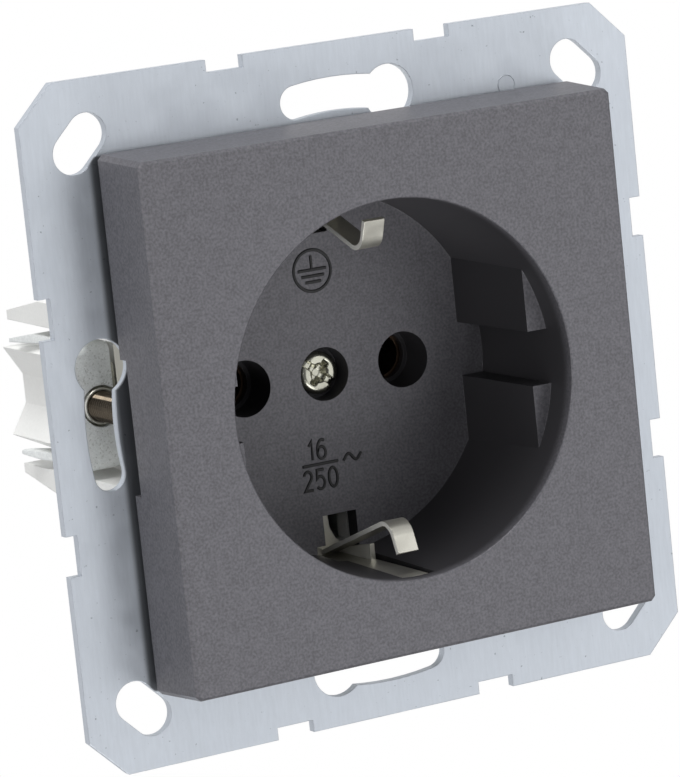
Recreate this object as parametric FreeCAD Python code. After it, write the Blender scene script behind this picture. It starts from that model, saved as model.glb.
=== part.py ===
import FreeCAD, Part
import math
import os

from FreeCAD import Placement, Rotation, Vector

# Flush-mounted type F wall socket, in millimetres.
# +Z is up, +Y points into the wall, and the origin lies on the socket's axis
# at the back face of the support ring, which rests on the wall.

# Support ring, punched from sheet steel
RING_SIDE = 71.0
RING_THICKNESS = 1.0
RING_CHAMFER = 4.0
NOTCH_OFFSET = 12.1
NOTCH_WIDTH = 4.2
NOTCH_DEPTH = 1.3
CORNER_SLOT_RADIUS = 41.1
CORNER_SLOT_WIDTH = 4.3
CORNER_SLOT_LENGTH = 6.8
BOX_SCREW_SPACING = 60.3
KEYHOLE_WIDTH = 3.5
KEYHOLE_HEAD_DIA = 5.8
KEYHOLE_TAIL_ANGLE = 8.6
KEYHOLE_HEAD_ANGLE = 12.3

# Centre plate: square face, skirt and plug recess in one moulding
PLATE_FACE_SIZE = 54.6
PLATE_SKIRT_SIZE = 55.5
PLATE_HEIGHT = 9.35
PLATE_CORNER = 0.5
PLATE_EDGE = 0.3
FACE_THICKNESS = 2.0
SKIRT_THICKNESS = 1.6
SKIRT_GAP = 1.0
SKIRT_CUT_LENGTH = 14.0
SKIRT_CUT_HEIGHT = 1.2
PLATE_RIB = 1.0
PLATE_RIB_OFFSET = 11.0
PLATE_RIB_DEPTH = 4.0

# Plug recess
RECESS_MOUTH_DIA = 39.3
RECESS_FLOOR_DIA = 38.5
RECESS_DEPTH = 17.9
RECESS_RIM_EDGE = 0.12
POT_WALL = 1.2
POT_FLOOR = 2.0
GUIDE_FLOOR_HALF_GAP = 16.5
GUIDE_FRONT_HALF_GAP = 17.1
GUIDE_SETBACK = 4.05
GUIDE_GROOVE = 5.8
PIN_SPACING = 19.0
PIN_HOLE_DIA = 6.0
PIN_TUBE_WALL = 0.7
PIN_TUBE_LIP = 0.45
PIN_TUBE_LIP_HEIGHT = 0.8
PIN_TUBE_TO_CONTACT = 0.15
SCREW_WELL_DIA = 5.7
SCREW_HEAD_SETBACK = 1.1
SCREW_BOSS_WALL = 0.9
SCREW_BOSS_FLOOR = 1.3
EARTH_SLOT_INNER = 15.0
EARTH_SLOT_SIDE_GAP = 0.45
EARTH_FLOOR_SLOT_WIDTH = 4.0

# Centre screw and its threaded bush
CENTRE_HEAD_DIA = 4.5
CENTRE_HEAD_HEIGHT = 1.5
CENTRE_SCREW_DIA = 3.0
CENTRE_SCREW_LENGTH = 9.4
CENTRE_SLOT_WIDTH = 0.75
CENTRE_SLOT_DEPTH = 0.7
BUSH_DIA = 4.8
BUSH_LENGTH = 6.5
THREAD_CLEARANCE = 0.05

# Socket base, a thermoplastic housing
POT_CLEARANCE = 0.4
COLLAR_CLEARANCE = 0.45
COLLAR_WALL = 2.4
BASE_REAR = 31.5
BODY_HEIGHT = 41.0
BODY_CORNER = 5.0
BODY_WALL = 1.5
FRONT_WALL = 3.05
FRONT_FLANGE = 2.0
PIN_TUBE_CLEARANCE = 0.3
CHAMBER_RIB = 1.2
CHAMBER_RIB_OFFSET = 5.2
SHELF_THICKNESS = 1.0
SHELF_TOP = 6.0
POST_SIDE = 8.6

# Two rivets that hold the ring on the base, on a diagonal
RIVET_CIRCLE_RADIUS = 24.6
RIVET_DIA = 2.2
RIVET_HEAD_DIA = 3.8
RIVET_HEAD_HEIGHT = 0.6
RIVET_LENGTH = 6.0
RIVET_BOSS_SIDE = 5.2
RIVET_BOSS_HEIGHT = 7.0
RIVET_CLEARANCE = 0.05

# Spreading claws, one on each side, measured outwards from the claw screw's axis
CLAW_SCREW_TO_COLLAR = 2.1
CLAW_SCREW_DIA = 3.0
CLAW_HEAD_DIA = 4.4
CLAW_HEAD_HEIGHT = 1.7
CLAW_SHEET = 0.9
CLAW_HEIGHT = 13.6
CLAW_TAB_FRONT = 13.3
CLAW_TAB_INNER = -1.5
CLAW_TAB_OUTER = 2.8
CLAW_NOTCH_DIA = 4.4
CLAW_WAIST_OUTER = 1.3
CLAW_WAIST_INNER = -1.0
CLAW_WAIST_Y = 23.6
CLAW_TIP_OUTER = 2.9
CLAW_TIP_Y = 28.9
CLAW_TIP_BACK = 1.6
CLAW_TIP_SHEET = 0.4
CLAW_TIP_TAPER = 3.0
CLAW_BEND = 1.2
CLAW_ROUND = 0.4
CLAW_ROUND_STEP = 0.02
NUT_WIDTH = 4.4
NUT_HEIGHT = 8.4
NUT_THICKNESS = 2.2
NUT_TO_SCREW_END = 0.5
BODY_SIDE = -3.0
BRIDGE_DEPTH = 4.5
BRIDGE_OUTER = 2.0
HEAD_NOTCH_CLEARANCE = 0.6
TOWER_START = 17.0
TOWER_REAR = 33.3
TOWER_RIDGE = 1.85
TOWER_VALLEY = -0.1
TOWER_VALLEY_HALF = 1.6
TOWER_RIDGE_HEIGHT = 4.8
TOWER_ROOT_HEIGHT = 5.6
TOWER_SHOULDER = 1.0
FIN_OUTER = 1.5
FIN_REAR = 32.0
FIN_INNER_HEIGHT = 7.6
FIN_REAR_HEIGHT = 8.9
FIN_ROOT_HEIGHT = 10.5
FIN_SLOPE_START = 23.5

# Earth bracket, one stamped and folded strip
EARTH_SHEET = 0.6
EARTH_LEG_TOP = 19.7
EARTH_LEG_WIDTH = 2.9
EARTH_LEG_FRONT_GAP = 2.05
EARTH_ROOT_LEFT = 2.6
EARTH_TONGUE_WIDTH = 2.4
EARTH_TONGUE_SHEET = 0.5
EARTH_CREST = 14.25
EARTH_CREST_Y = -4.4
EARTH_CREST_RADIUS = 2.1
EARTH_TONGUE_ANGLE = 19.0
EARTH_CURL_ANGLE = 68.0
EARTH_CURL_LENGTH = 1.9
EARTH_GUSSET_HEIGHT = 1.7
EARTH_GUSSET_Y = 3.1
EARTH_ARM_LEFT = 4.6
EARTH_ARM_RIGHT = 0.2
EARTH_CENTRE_HALF_WIDTH = 5.4
EARTH_CENTRE_HALF_HEIGHT = 6.5
BRACKET_POCKET_DEPTH = 0.8
BRACKET_CLEARANCE = 0.3
EARTH_WINDOW_RIGHT = 2.4
EARTH_WINDOW_TOP = 18.7

# Phase and neutral contacts
SLEEVE_BORE = 4.6
SLEEVE_SHEET = 0.6
SLEEVE_LENGTH = 10.0
SLEEVE_SLIT = 0.8
WEB_WIDTH = 4.2
BAR_SHEET = 0.8
BAR_UNDERSIDE = 14.4
BAR_LENGTH = 14.5

# Terminals: six plug-in clamps, two for each conductor
TERMINAL_X = (9.8, 14.4)
EARTH_TERMINAL_X = 2.4
TERMINAL_BAR_MARGIN = 0.4
WIRE_HOLE_DIA = 3.4
WIRE_HOLE_Z = 12.0
SPRING_WIDTH = 3.6
SPRING_SHEET = 0.35
SPRING_FRONT = 17.8
SPRING_BEND_Y = 25.2
SPRING_BEND_RADIUS = 0.9
SPRING_TIP_Y = 19.6
SPRING_TIP_GAP = 0.4

# Release pushers and rear cover
PUSHER_WIDTH = 8.0
PUSHER_HEIGHT = 1.8
PUSHER_Z = 9.1
PUSHER_TIP_Y = 26.7
PUSHER_PROUD = 0.8
PUSHER_CLEARANCE = 0.15
PUSHER_LIP = 0.5
PUSHER_LIP_THICKNESS = 1.0
REAR_COVER_THICKNESS = 2.0
REAR_COVER_CLEARANCE = 0.1
HOOK_X = 10.0
HOOK_WIDTH = 4.0
HOOK_LENGTH = 4.0
HOOK_SHEET = 1.0
HOOK_NOSE = 1.6
HOOK_REACH = 1.0
HOOK_CLEARANCE = 0.15

# Planes and radii that follow from the sizes above
Y_RING_FRONT = -RING_THICKNESS
Y_FACE = Y_RING_FRONT - PLATE_HEIGHT
Y_SKIRT = Y_RING_FRONT - SKIRT_GAP
Y_FLOOR = Y_FACE + RECESS_DEPTH
Y_POT_BACK = Y_FLOOR + POT_FLOOR
Y_BASE = Y_POT_BACK + POT_CLEARANCE
Y_CAVITY = Y_BASE + FRONT_WALL
Y_COVER = BASE_REAR - REAR_COVER_THICKNESS
Y_HOOK = Y_COVER - HOOK_LENGTH
MOUTH_R = RECESS_MOUTH_DIA / 2
FLOOR_R = RECESS_FLOOR_DIA / 2
COLLAR_R = MOUTH_R + POT_WALL + COLLAR_CLEARANCE
COLLAR_OUTER_R = COLLAR_R + COLLAR_WALL
PIN_X = PIN_SPACING / 2
CLAW_X = COLLAR_R + CLAW_SCREW_TO_COLLAR
HALF_BODY = CLAW_X + BODY_SIDE
Y_HEAD = Y_FLOOR + SCREW_HEAD_SETBACK
Y_WELL = Y_HEAD + CENTRE_HEAD_HEIGHT
Y_BOSS = Y_WELL + SCREW_BOSS_FLOOR
BOSS_R = SCREW_WELL_DIA / 2 + SCREW_BOSS_WALL
BOSS_POCKET_R = BOSS_R + BRACKET_CLEARANCE
Y_BRACKET_BACK = Y_BASE + BRACKET_POCKET_DEPTH
Y_BRACKET = Y_BRACKET_BACK - EARTH_SHEET
BAR_TOP = BAR_UNDERSIDE + BAR_SHEET
Y_NUT = CLAW_TAB_FRONT + CLAW_SHEET
PIN_TUBE_R = PIN_HOLE_DIA / 2 + PIN_TUBE_WALL
Y_PIN_TUBE = Y_CAVITY - PIN_TUBE_TO_CONTACT
CAVITY_HALF_X = HALF_BODY - BODY_WALL
CAVITY_HALF_Z = BODY_HEIGHT / 2 - BODY_WALL
OVERSHOOT = 1.0


def box(x0, x1, y0, y1, z0, z1):
    """Block between two corners."""
    return Part.makeBox(x1 - x0, y1 - y0, z1 - z0, Vector(x0, y0, z0))


def rod(x, z, radius, y0, y1):
    """Cylinder along Y."""
    return Part.makeCylinder(radius, y1 - y0, Vector(x, y0, z), Vector(0, 1, 0))


def taper(radius0, radius1, y0, y1):
    """Cone on the socket's axis, from radius0 at y0 to radius1 at y1."""
    return Part.makeCone(radius0, radius1, y1 - y0, Vector(0, y0, 0), Vector(0, 1, 0))


def slab(points, direction):
    """Prism of a closed outline of 3-D points."""
    wire = Part.makePolygon([Vector(*p) for p in points + points[:1]])
    return Part.Face(wire).extrude(Vector(*direction))


def slab_xz(points, y0, y1):
    return slab([(x, y0, z) for x, z in points], (0, y1 - y0, 0))


def slab_xy(points, z0, z1):
    return slab([(x, y, z0) for x, y in points], (0, 0, z1 - z0))


def slab_yz(points, x0, x1):
    return slab([(x0, y, z) for y, z in points], (x1 - x0, 0, 0))


def fused(shapes):
    """One solid from overlapping or touching shapes."""
    return shapes[0].fuse(list(shapes[1:])).removeSplitter()


def turned(shape, degrees):
    """Copy turned about the socket's axis."""
    copy = shape.copy()
    copy.rotate(Vector(0, 0, 0), Vector(0, 1, 0), degrees)
    return copy


def mirrored_x(shape):
    return shape.mirror(Vector(0, 0, 0), Vector(1, 0, 0))


def mirrored_z(shape):
    return shape.mirror(Vector(0, 0, 0), Vector(0, 0, 1))


def both_sides(shape):
    return [shape, mirrored_x(shape)]


def save(name, shape):
    """Writes one node and reports its solids and volume."""
    solids = shape.Solids
    result = solids[0] if len(solids) == 1 else Part.makeCompound(solids)
    result.exportStep("parts/" + name + ".step")
    print(f"{name:24s} solids {len(solids)}  volume {result.Volume:9.2f}  valid {result.isValid()}")


def chamfered_square(half_x, half_z, chamfer):
    return [(half_x, half_z - chamfer), (half_x - chamfer, half_z),
            (chamfer - half_x, half_z), (-half_x, half_z - chamfer),
            (-half_x, chamfer - half_z), (chamfer - half_x, -half_z),
            (half_x - chamfer, -half_z), (half_x, chamfer - half_z)]


def on_plane(edge, y):
    return all(abs(vertex.Y - y) < 1e-6 for vertex in edge.Vertexes)


def tapered_block(levels):
    """Square block with chamfered side edges through levels of half size, chamfer and Y."""
    rings = [[Vector(x, y, z) for x, z in chamfered_square(half, half, chamfer)]
             for half, chamfer, y in levels]
    outlines = [rings[0], rings[-1][::-1]]
    for near, far in zip(rings, rings[1:]):
        for i in range(len(near)):
            j = (i + 1) % len(near)
            outlines.append([near[j], near[i], far[i], far[j]])
    faces = [Part.Face(Part.makePolygon(points + points[:1])) for points in outlines]
    return Part.Solid(Part.Shell(faces))


def keyhole_slot():
    """Curved slot for a box screw above the axis, with its round end to the right."""
    radius = BOX_SCREW_SPACING / 2
    half = KEYHOLE_WIDTH / 2
    tail = math.radians(-KEYHOLE_TAIL_ANGLE)
    head = math.radians(KEYHOLE_HEAD_ANGLE)
    y0, y1 = Y_RING_FRONT - OVERSHOOT, OVERSHOOT
    band = rod(0, 0, radius + half, y0, y1).cut(rod(0, 0, radius - half, y0, y1))
    reach = radius + 2 * half
    wedge = slab_xz([(0, 0), (reach * math.sin(tail), reach * math.cos(tail)),
                     (reach * math.sin(head), reach * math.cos(head))], y0, y1)
    tail_end = rod(radius * math.sin(tail), radius * math.cos(tail), half, y0, y1)
    head_end = rod(radius * math.sin(head), radius * math.cos(head), KEYHOLE_HEAD_DIA / 2, y0, y1)
    return fused([band.common(wedge), tail_end, head_end])


def corner_slot():
    """Obround slot parallel to the upper right chamfer."""
    half = CORNER_SLOT_WIDTH / 2
    reach = CORNER_SLOT_LENGTH / 2 - half
    y0, y1 = Y_RING_FRONT - OVERSHOOT, OVERSHOOT
    ends = [rod(side * reach, CORNER_SLOT_RADIUS, half, y0, y1) for side in (-1, 1)]
    middle = box(-reach, reach, y0, y1, CORNER_SLOT_RADIUS - half, CORNER_SLOT_RADIUS + half)
    return turned(fused([middle] + ends), 45)


def support_ring():
    """Chamfered square sheet with its opening, notches and screw slots."""
    half = RING_SIDE / 2
    plate = slab_xz(chamfered_square(half, half, RING_CHAMFER), Y_RING_FRONT, 0)
    y0, y1 = Y_RING_FRONT - OVERSHOOT, OVERSHOOT
    cuts = [rod(0, 0, COLLAR_R, y0, y1)]
    head_notch = CLAW_HEAD_DIA / 2 + HEAD_NOTCH_CLEARANCE
    for side in (-1, 1):
        cuts.append(rod(side * CLAW_X, 0, head_notch, y0, y1))
        notch = box(side * NOTCH_OFFSET - NOTCH_WIDTH / 2, side * NOTCH_OFFSET + NOTCH_WIDTH / 2,
                    y0, y1, half - NOTCH_DEPTH, half + OVERSHOOT)
        cuts += [turned(notch, 90 * quarter) for quarter in range(4)]
    for quarter in range(4):
        cuts.append(turned(keyhole_slot(), 90 * quarter))
        cuts.append(turned(corner_slot(), 90 * quarter))
    cuts += [rod(x, z, RIVET_DIA / 2 + RIVET_CLEARANCE, y0, y1) for x, z in rivet_places()]
    return plate.cut(cuts)


def rivet_places():
    reach = RIVET_CIRCLE_RADIUS * math.sqrt(0.5)
    return [(-reach, reach), (reach, -reach)]


def ring_rivets():
    """Drive rivets with a head on the ring and a shank in the base's bosses."""
    rivets = []
    for x, z in rivet_places():
        head = rod(x, z, RIVET_HEAD_DIA / 2, Y_RING_FRONT - RIVET_HEAD_HEIGHT, Y_RING_FRONT)
        shank = rod(x, z, RIVET_DIA / 2, Y_RING_FRONT, RIVET_LENGTH)
        rivets.append(fused([head, shank]))
    return Part.makeCompound(rivets)


def guide_blocks():
    """Four guide blocks at the sides of the recess, with a groove between each pair."""
    y_front = Y_FACE + GUIDE_SETBACK
    outline = [(GUIDE_FLOOR_HALF_GAP, Y_FLOOR), (GUIDE_FRONT_HALF_GAP, y_front),
               (MOUTH_R + POT_WALL, y_front), (MOUTH_R + POT_WALL, Y_FLOOR)]
    block = slab_xy(outline, GUIDE_GROOVE / 2, MOUTH_R)
    pair = [block, mirrored_z(block)]
    bore = taper(MOUTH_R + POT_WALL / 2, FLOOR_R + POT_WALL / 2, Y_FACE, Y_FLOOR)
    return [piece.common(bore) for half in pair for piece in both_sides(half)]


def earth_passages():
    """Openings in the recess wall and floor through which one earth contact passes."""
    gap = EARTH_SLOT_SIDE_GAP
    leg = EARTH_LEG_WIDTH / 2 + gap
    y_front = Y_FACE + EARTH_LEG_FRONT_GAP - gap
    y_back = Y_BOSS + OVERSHOOT
    wall_slot = slab_xy([(-leg, y_front), (leg, y_front), (leg, y_back),
                         (-EARTH_ROOT_LEFT - gap, y_back),
                         (-EARTH_ROOT_LEFT - gap, EARTH_GUSSET_Y), (-leg, EARTH_GUSSET_Y)],
                        EARTH_LEG_TOP - 1.5, MOUTH_R + 2 * POT_WALL)
    floor_slot = box(-EARTH_FLOOR_SLOT_WIDTH / 2, EARTH_FLOOR_SLOT_WIDTH / 2,
                     Y_FLOOR - OVERSHOOT, y_back, EARTH_SLOT_INNER, EARTH_LEG_TOP)
    return fused([wall_slot, floor_slot])


def plate_ribs():
    """Stiffening ribs between the pot and the skirt, behind the face."""
    top = Y_FACE + FACE_THICKNESS - 0.2
    reach = PLATE_FACE_SIZE / 2 - SKIRT_THICKNESS / 2
    start = math.sqrt(MOUTH_R ** 2 - PLATE_RIB_OFFSET ** 2) + POT_WALL / 2
    ribs = []
    for side in (-1, 1):
        x = side * PLATE_RIB_OFFSET
        rib = box(x - PLATE_RIB / 2, x + PLATE_RIB / 2, top, top + PLATE_RIB_DEPTH, start, reach)
        ribs += [turned(rib, 90 * quarter) for quarter in range(4)]
    return ribs


def centre_plate():
    """Square face with skirt and the plug recess, moulded in one piece."""
    face_half = PLATE_FACE_SIZE / 2
    skirt_half = PLATE_SKIRT_SIZE / 2
    draft = (skirt_half - face_half) / (Y_SKIRT - Y_FACE)
    front_corner = PLATE_CORNER - (2 - math.sqrt(2)) * PLATE_EDGE
    shell = tapered_block([(face_half - PLATE_EDGE, front_corner, Y_FACE),
                           (face_half + draft * PLATE_EDGE, PLATE_CORNER, Y_FACE + PLATE_EDGE),
                           (skirt_half, PLATE_CORNER, Y_SKIRT)])
    hollow = tapered_block([(face_half + draft * FACE_THICKNESS - SKIRT_THICKNESS, PLATE_CORNER,
                             Y_FACE + FACE_THICKNESS),
                            (skirt_half + draft * OVERSHOOT - SKIRT_THICKNESS, PLATE_CORNER,
                             Y_SKIRT + OVERSHOOT)])
    shell = shell.cut(hollow)

    recess = taper(MOUTH_R, FLOOR_R, Y_FACE, Y_FLOOR)
    pot = rod(0, 0, MOUTH_R + POT_WALL, Y_FACE + FACE_THICKNESS / 2, Y_POT_BACK)
    bosses = [rod(0, 0, BOSS_R, Y_POT_BACK - 0.5, Y_BOSS)]
    bosses += both_sides(rod(PIN_X, 0, PIN_TUBE_R, Y_POT_BACK - 0.5, Y_PIN_TUBE))
    solid = fused([shell, pot] + bosses + plate_ribs())
    wall_slope = (MOUTH_R - FLOOR_R) / RECESS_DEPTH
    rim_cut = taper(MOUTH_R + RECESS_RIM_EDGE + OVERSHOOT,
                    MOUTH_R - wall_slope * RECESS_RIM_EDGE, Y_FACE - OVERSHOOT,
                    Y_FACE + RECESS_RIM_EDGE)
    solid = solid.cut([recess, rim_cut])
    solid = fused([solid] + guide_blocks())

    hole = fused([rod(PIN_X, 0, PIN_HOLE_DIA / 2, Y_FLOOR - OVERSHOOT,
                      Y_PIN_TUBE - PIN_TUBE_LIP_HEIGHT),
                  rod(PIN_X, 0, PIN_HOLE_DIA / 2 - PIN_TUBE_LIP, Y_FLOOR,
                      Y_PIN_TUBE + OVERSHOOT)])
    cuts = both_sides(hole)
    cuts.append(rod(0, 0, SCREW_WELL_DIA / 2, Y_FLOOR - OVERSHOOT, Y_WELL))
    cuts.append(rod(0, 0, CENTRE_SCREW_DIA / 2 + 2 * THREAD_CLEARANCE, Y_WELL - OVERSHOOT,
                    Y_BOSS + OVERSHOOT))
    cuts += [earth_passages(), mirrored_z(earth_passages())]
    cut_half = SKIRT_CUT_LENGTH / 2
    cuts += both_sides(box(-skirt_half - OVERSHOOT, SKIRT_THICKNESS * 1.5 - skirt_half,
                           Y_SKIRT - SKIRT_CUT_HEIGHT, Y_SKIRT + OVERSHOOT, -cut_half, cut_half))
    return solid.cut(cuts)


def centre_screw():
    """Screw that holds the centre plate, with a slot and a cross recess in its head."""
    radius = CENTRE_HEAD_DIA / 2
    dome = 0.35
    profile = [Vector(0, Y_HEAD, 0), Vector(radius - dome, Y_HEAD, 0),
               Vector(radius, Y_HEAD + dome, 0), Vector(radius, Y_WELL, 0),
               Vector(CENTRE_SCREW_DIA / 2, Y_WELL, 0),
               Vector(CENTRE_SCREW_DIA / 2, Y_WELL + CENTRE_SCREW_LENGTH, 0),
               Vector(0, Y_WELL + CENTRE_SCREW_LENGTH, 0)]
    face = Part.Face(Part.makePolygon(profile + profile[:1]))
    screw = face.revolve(Vector(0, 0, 0), Vector(0, 1, 0), 360)
    y0, y1 = Y_HEAD - OVERSHOOT, Y_HEAD + CENTRE_SLOT_DEPTH
    half = CENTRE_SLOT_WIDTH / 2
    slot = turned(box(-radius - OVERSHOOT, radius + OVERSHOOT, y0, y1, -half, half), 40)
    cross_reach = radius * 0.62
    cross = [box(-cross_reach, cross_reach, y0, y1, -half, half),
             box(-half, half, y0, y1, -cross_reach, cross_reach)]
    return screw.cut([slot] + [turned(arm, 40) for arm in cross])


def centre_bush():
    """Threaded brass bush in the base's centre post."""
    y0 = Y_CAVITY - 0.6
    radius = BUSH_DIA / 2
    bore = rod(0, 0, CENTRE_SCREW_DIA / 2 + THREAD_CLEARANCE, y0 - OVERSHOOT,
               y0 + BUSH_LENGTH + OVERSHOOT)
    return rod(0, 0, radius, y0, y0 + BUSH_LENGTH).cut(bore)


def strip_path(start, crest, radius, rise, fall, tail):
    """Corner points of a contact tongue in the YZ plane: rise, crest arc and curled end."""
    rise, fall = math.radians(rise), math.radians(fall)
    centre = (crest[0], crest[1] - radius)
    into = (centre[0] + radius * math.sin(rise), centre[1] + radius * math.cos(rise))
    out = (centre[0] - radius * math.sin(fall), centre[1] + radius * math.cos(fall))
    end = (out[0] - tail * math.cos(fall), out[1] - tail * math.sin(fall))
    return start, into, crest, out, end


def earth_tongue():
    """Sprung tongue of the upper earth contact, arched towards the plug."""
    def outline(offset):
        rise = math.radians(EARTH_TONGUE_ANGLE)
        crest_z = -EARTH_CREST - offset
        into_y = EARTH_CREST_Y + (EARTH_CREST_RADIUS - offset) * math.sin(rise)
        into_z = crest_z - (EARTH_CREST_RADIUS - offset) * (1 - math.cos(rise))
        length_z = into_z + EARTH_LEG_TOP + EARTH_SHEET / 2
        start = (into_y + length_z / math.tan(rise), -EARTH_LEG_TOP - EARTH_SHEET / 2)
        return strip_path(start, (EARTH_CREST_Y, crest_z), EARTH_CREST_RADIUS - offset,
                          EARTH_TONGUE_ANGLE, EARTH_CURL_ANGLE, EARTH_CURL_LENGTH)

    x0 = -EARTH_TONGUE_WIDTH / 2
    loops = []
    for offset in (0.0, EARTH_TONGUE_SHEET):
        start, into, crest, out, end = [Vector(x0, y, z) for y, z in outline(offset)]
        loops.append((start, into, crest, out, end))
    outer, inner = loops
    edges = [Part.makeLine(outer[0], outer[1]), Part.Arc(outer[1], outer[2], outer[3]).toShape(),
             Part.makeLine(outer[3], outer[4]), Part.makeLine(outer[4], inner[4]),
             Part.makeLine(inner[4], inner[3]), Part.Arc(inner[3], inner[2], inner[1]).toShape(),
             Part.makeLine(inner[1], inner[0]), Part.makeLine(inner[0], outer[0])]
    face = Part.Face(Part.Wire(edges))
    tongue = face.extrude(Vector(EARTH_TONGUE_WIDTH, 0, 0))
    behind = box(-OVERSHOOT * 5, OVERSHOOT * 5, Y_BRACKET_BACK, BASE_REAR, -BODY_HEIGHT, 0)
    return mirrored_z(tongue.cut(behind))


def earth_contact():
    """Upper earth contact: arm, leg along the recess wall, gusset and tongue."""
    leg = EARTH_LEG_WIDTH / 2
    outer = EARTH_LEG_TOP + EARTH_SHEET
    y_front = Y_FACE + EARTH_LEG_FRONT_GAP
    arm = slab_xz([(-EARTH_ARM_LEFT, EARTH_CENTRE_HALF_HEIGHT - 1.0),
                   (-EARTH_ARM_LEFT, EARTH_LEG_TOP - 3.0), (-EARTH_ROOT_LEFT, outer), (leg, outer),
                   (leg, EARTH_LEG_TOP - 0.9), (0.6, EARTH_LEG_TOP - 1.5),
                   (0.0, EARTH_LEG_TOP - 2.8), (-EARTH_ARM_RIGHT, EARTH_SLOT_INNER - 0.6),
                   (-EARTH_ARM_RIGHT, EARTH_CENTRE_HALF_HEIGHT - 1.0)],
                  Y_BRACKET, Y_BRACKET_BACK)
    plate = slab_xy([(-leg, y_front), (leg, y_front), (leg, Y_BRACKET_BACK),
                     (-EARTH_ROOT_LEFT, Y_BRACKET_BACK), (-EARTH_ROOT_LEFT + 0.3, Y_FLOOR),
                     (-leg, EARTH_GUSSET_Y + EARTH_SLOT_SIDE_GAP)], EARTH_LEG_TOP, outer)
    gusset = slab_yz([(EARTH_GUSSET_Y, EARTH_LEG_TOP + 0.1),
                      (EARTH_GUSSET_Y, EARTH_LEG_TOP - EARTH_GUSSET_HEIGHT),
                      (Y_BRACKET, EARTH_LEG_TOP - 0.5), (Y_BRACKET, EARTH_LEG_TOP + 0.1)],
                     leg - EARTH_SHEET, leg)
    return [arm, plate, gusset, earth_tongue()]


def earth_bracket():
    """Earth contacts above and below, joined behind the recess, with the terminal bar."""
    centre = box(-EARTH_CENTRE_HALF_WIDTH, EARTH_CENTRE_HALF_WIDTH, Y_BRACKET, Y_BRACKET_BACK,
                 -EARTH_CENTRE_HALF_HEIGHT, EARTH_CENTRE_HALF_HEIGHT)
    bar_half = EARTH_TERMINAL_X + SPRING_WIDTH / 2
    bar = box(-bar_half, bar_half, Y_BRACKET, Y_CAVITY + BAR_LENGTH, BAR_UNDERSIDE, BAR_TOP)
    upper = earth_contact()
    lower = [mirrored_z(piece) for piece in upper]
    solid = fused([centre, bar] + upper + lower)
    return solid.cut(rod(0, 0, BOSS_POCKET_R, Y_BASE - OVERSHOOT, Y_BRACKET_BACK + OVERSHOOT))


def pole_contact():
    """Contact of the right pin: slotted sleeve, web and terminal bar in one strip."""
    y1 = Y_CAVITY + SLEEVE_LENGTH
    bore = SLEEVE_BORE / 2
    outer = bore + SLEEVE_SHEET
    sleeve = rod(PIN_X, 0, outer, Y_CAVITY, y1)
    web = box(PIN_X - WEB_WIDTH / 2, PIN_X + WEB_WIDTH / 2, Y_CAVITY, Y_CAVITY + BAR_SHEET,
              0, BAR_TOP)
    bar = box(PIN_X - WEB_WIDTH / 2, TERMINAL_X[1] + SPRING_WIDTH / 2 + TERMINAL_BAR_MARGIN,
              Y_CAVITY, Y_CAVITY + BAR_LENGTH, BAR_UNDERSIDE, BAR_TOP)
    solid = fused([sleeve, web, bar])
    slit = SLEEVE_SLIT / 2
    y_slit = Y_CAVITY + 2.5
    cuts = [rod(PIN_X, 0, bore, Y_CAVITY - OVERSHOOT, y1 + OVERSHOOT),
            box(PIN_X - slit, PIN_X + slit, Y_CAVITY - OVERSHOOT, y1 + OVERSHOOT, -outer - 1, 0),
            box(PIN_X - outer - 1, PIN_X + outer + 1, y_slit, y1 + OVERSHOOT, -slit, slit)]
    return solid.cut(cuts)


def clamp_spring(x):
    """Bent strip that presses a wire against the bar above it."""
    sheet = SPRING_SHEET
    base = SHELF_TOP
    radius = SPRING_BEND_RADIUS
    tip_z = BAR_UNDERSIDE - SPRING_TIP_GAP
    centre = (SPRING_BEND_Y, base + radius)
    dy, dz = SPRING_TIP_Y - centre[0], tip_z - centre[1]
    distance = math.hypot(dy, dz)
    swing = math.atan2(dz, dy) - math.acos(radius / distance)

    def ring(r, angle):
        return (centre[0] + r * math.cos(angle), centre[1] + r * math.sin(angle))

    def tip(r):
        length = math.sqrt(distance ** 2 - radius ** 2)
        y, z = ring(r, swing)
        return (y - length * math.sin(swing), z + length * math.cos(swing))

    def vector(point):
        return Vector(x - SPRING_WIDTH / 2, point[0], point[1])

    inner = radius - sheet
    middle = (swing - math.pi / 2) / 2
    low = [vector((SPRING_FRONT, base)), vector((SPRING_FRONT, base + sheet))]
    edges = [Part.makeLine(low[0], vector(ring(radius, -math.pi / 2))),
             Part.Arc(vector(ring(radius, -math.pi / 2)), vector(ring(radius, middle)),
                      vector(ring(radius, swing))).toShape(),
             Part.makeLine(vector(ring(radius, swing)), vector(tip(radius))),
             Part.makeLine(vector(tip(radius)), vector(tip(inner))),
             Part.makeLine(vector(tip(inner)), vector(ring(inner, swing))),
             Part.Arc(vector(ring(inner, swing)), vector(ring(inner, middle)),
                      vector(ring(inner, -math.pi / 2))).toShape(),
             Part.makeLine(vector(ring(inner, -math.pi / 2)), low[1]),
             Part.makeLine(low[1], low[0])]
    return Part.Face(Part.Wire(edges)).extrude(Vector(SPRING_WIDTH, 0, 0))


def release_pusher(x):
    """Pusher that opens both clamps of one conductor, with a lip that keeps it in."""
    half = PUSHER_WIDTH / 2
    z0, z1 = PUSHER_Z - PUSHER_HEIGHT / 2, PUSHER_Z + PUSHER_HEIGHT / 2
    stem = box(x - half, x + half, PUSHER_TIP_Y, BASE_REAR + PUSHER_PROUD, z0, z1)
    lip = box(x - half - PUSHER_LIP, x + half + PUSHER_LIP, Y_COVER - PUSHER_LIP_THICKNESS,
              Y_COVER, z0, z1)
    return fused([stem, lip])


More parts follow.
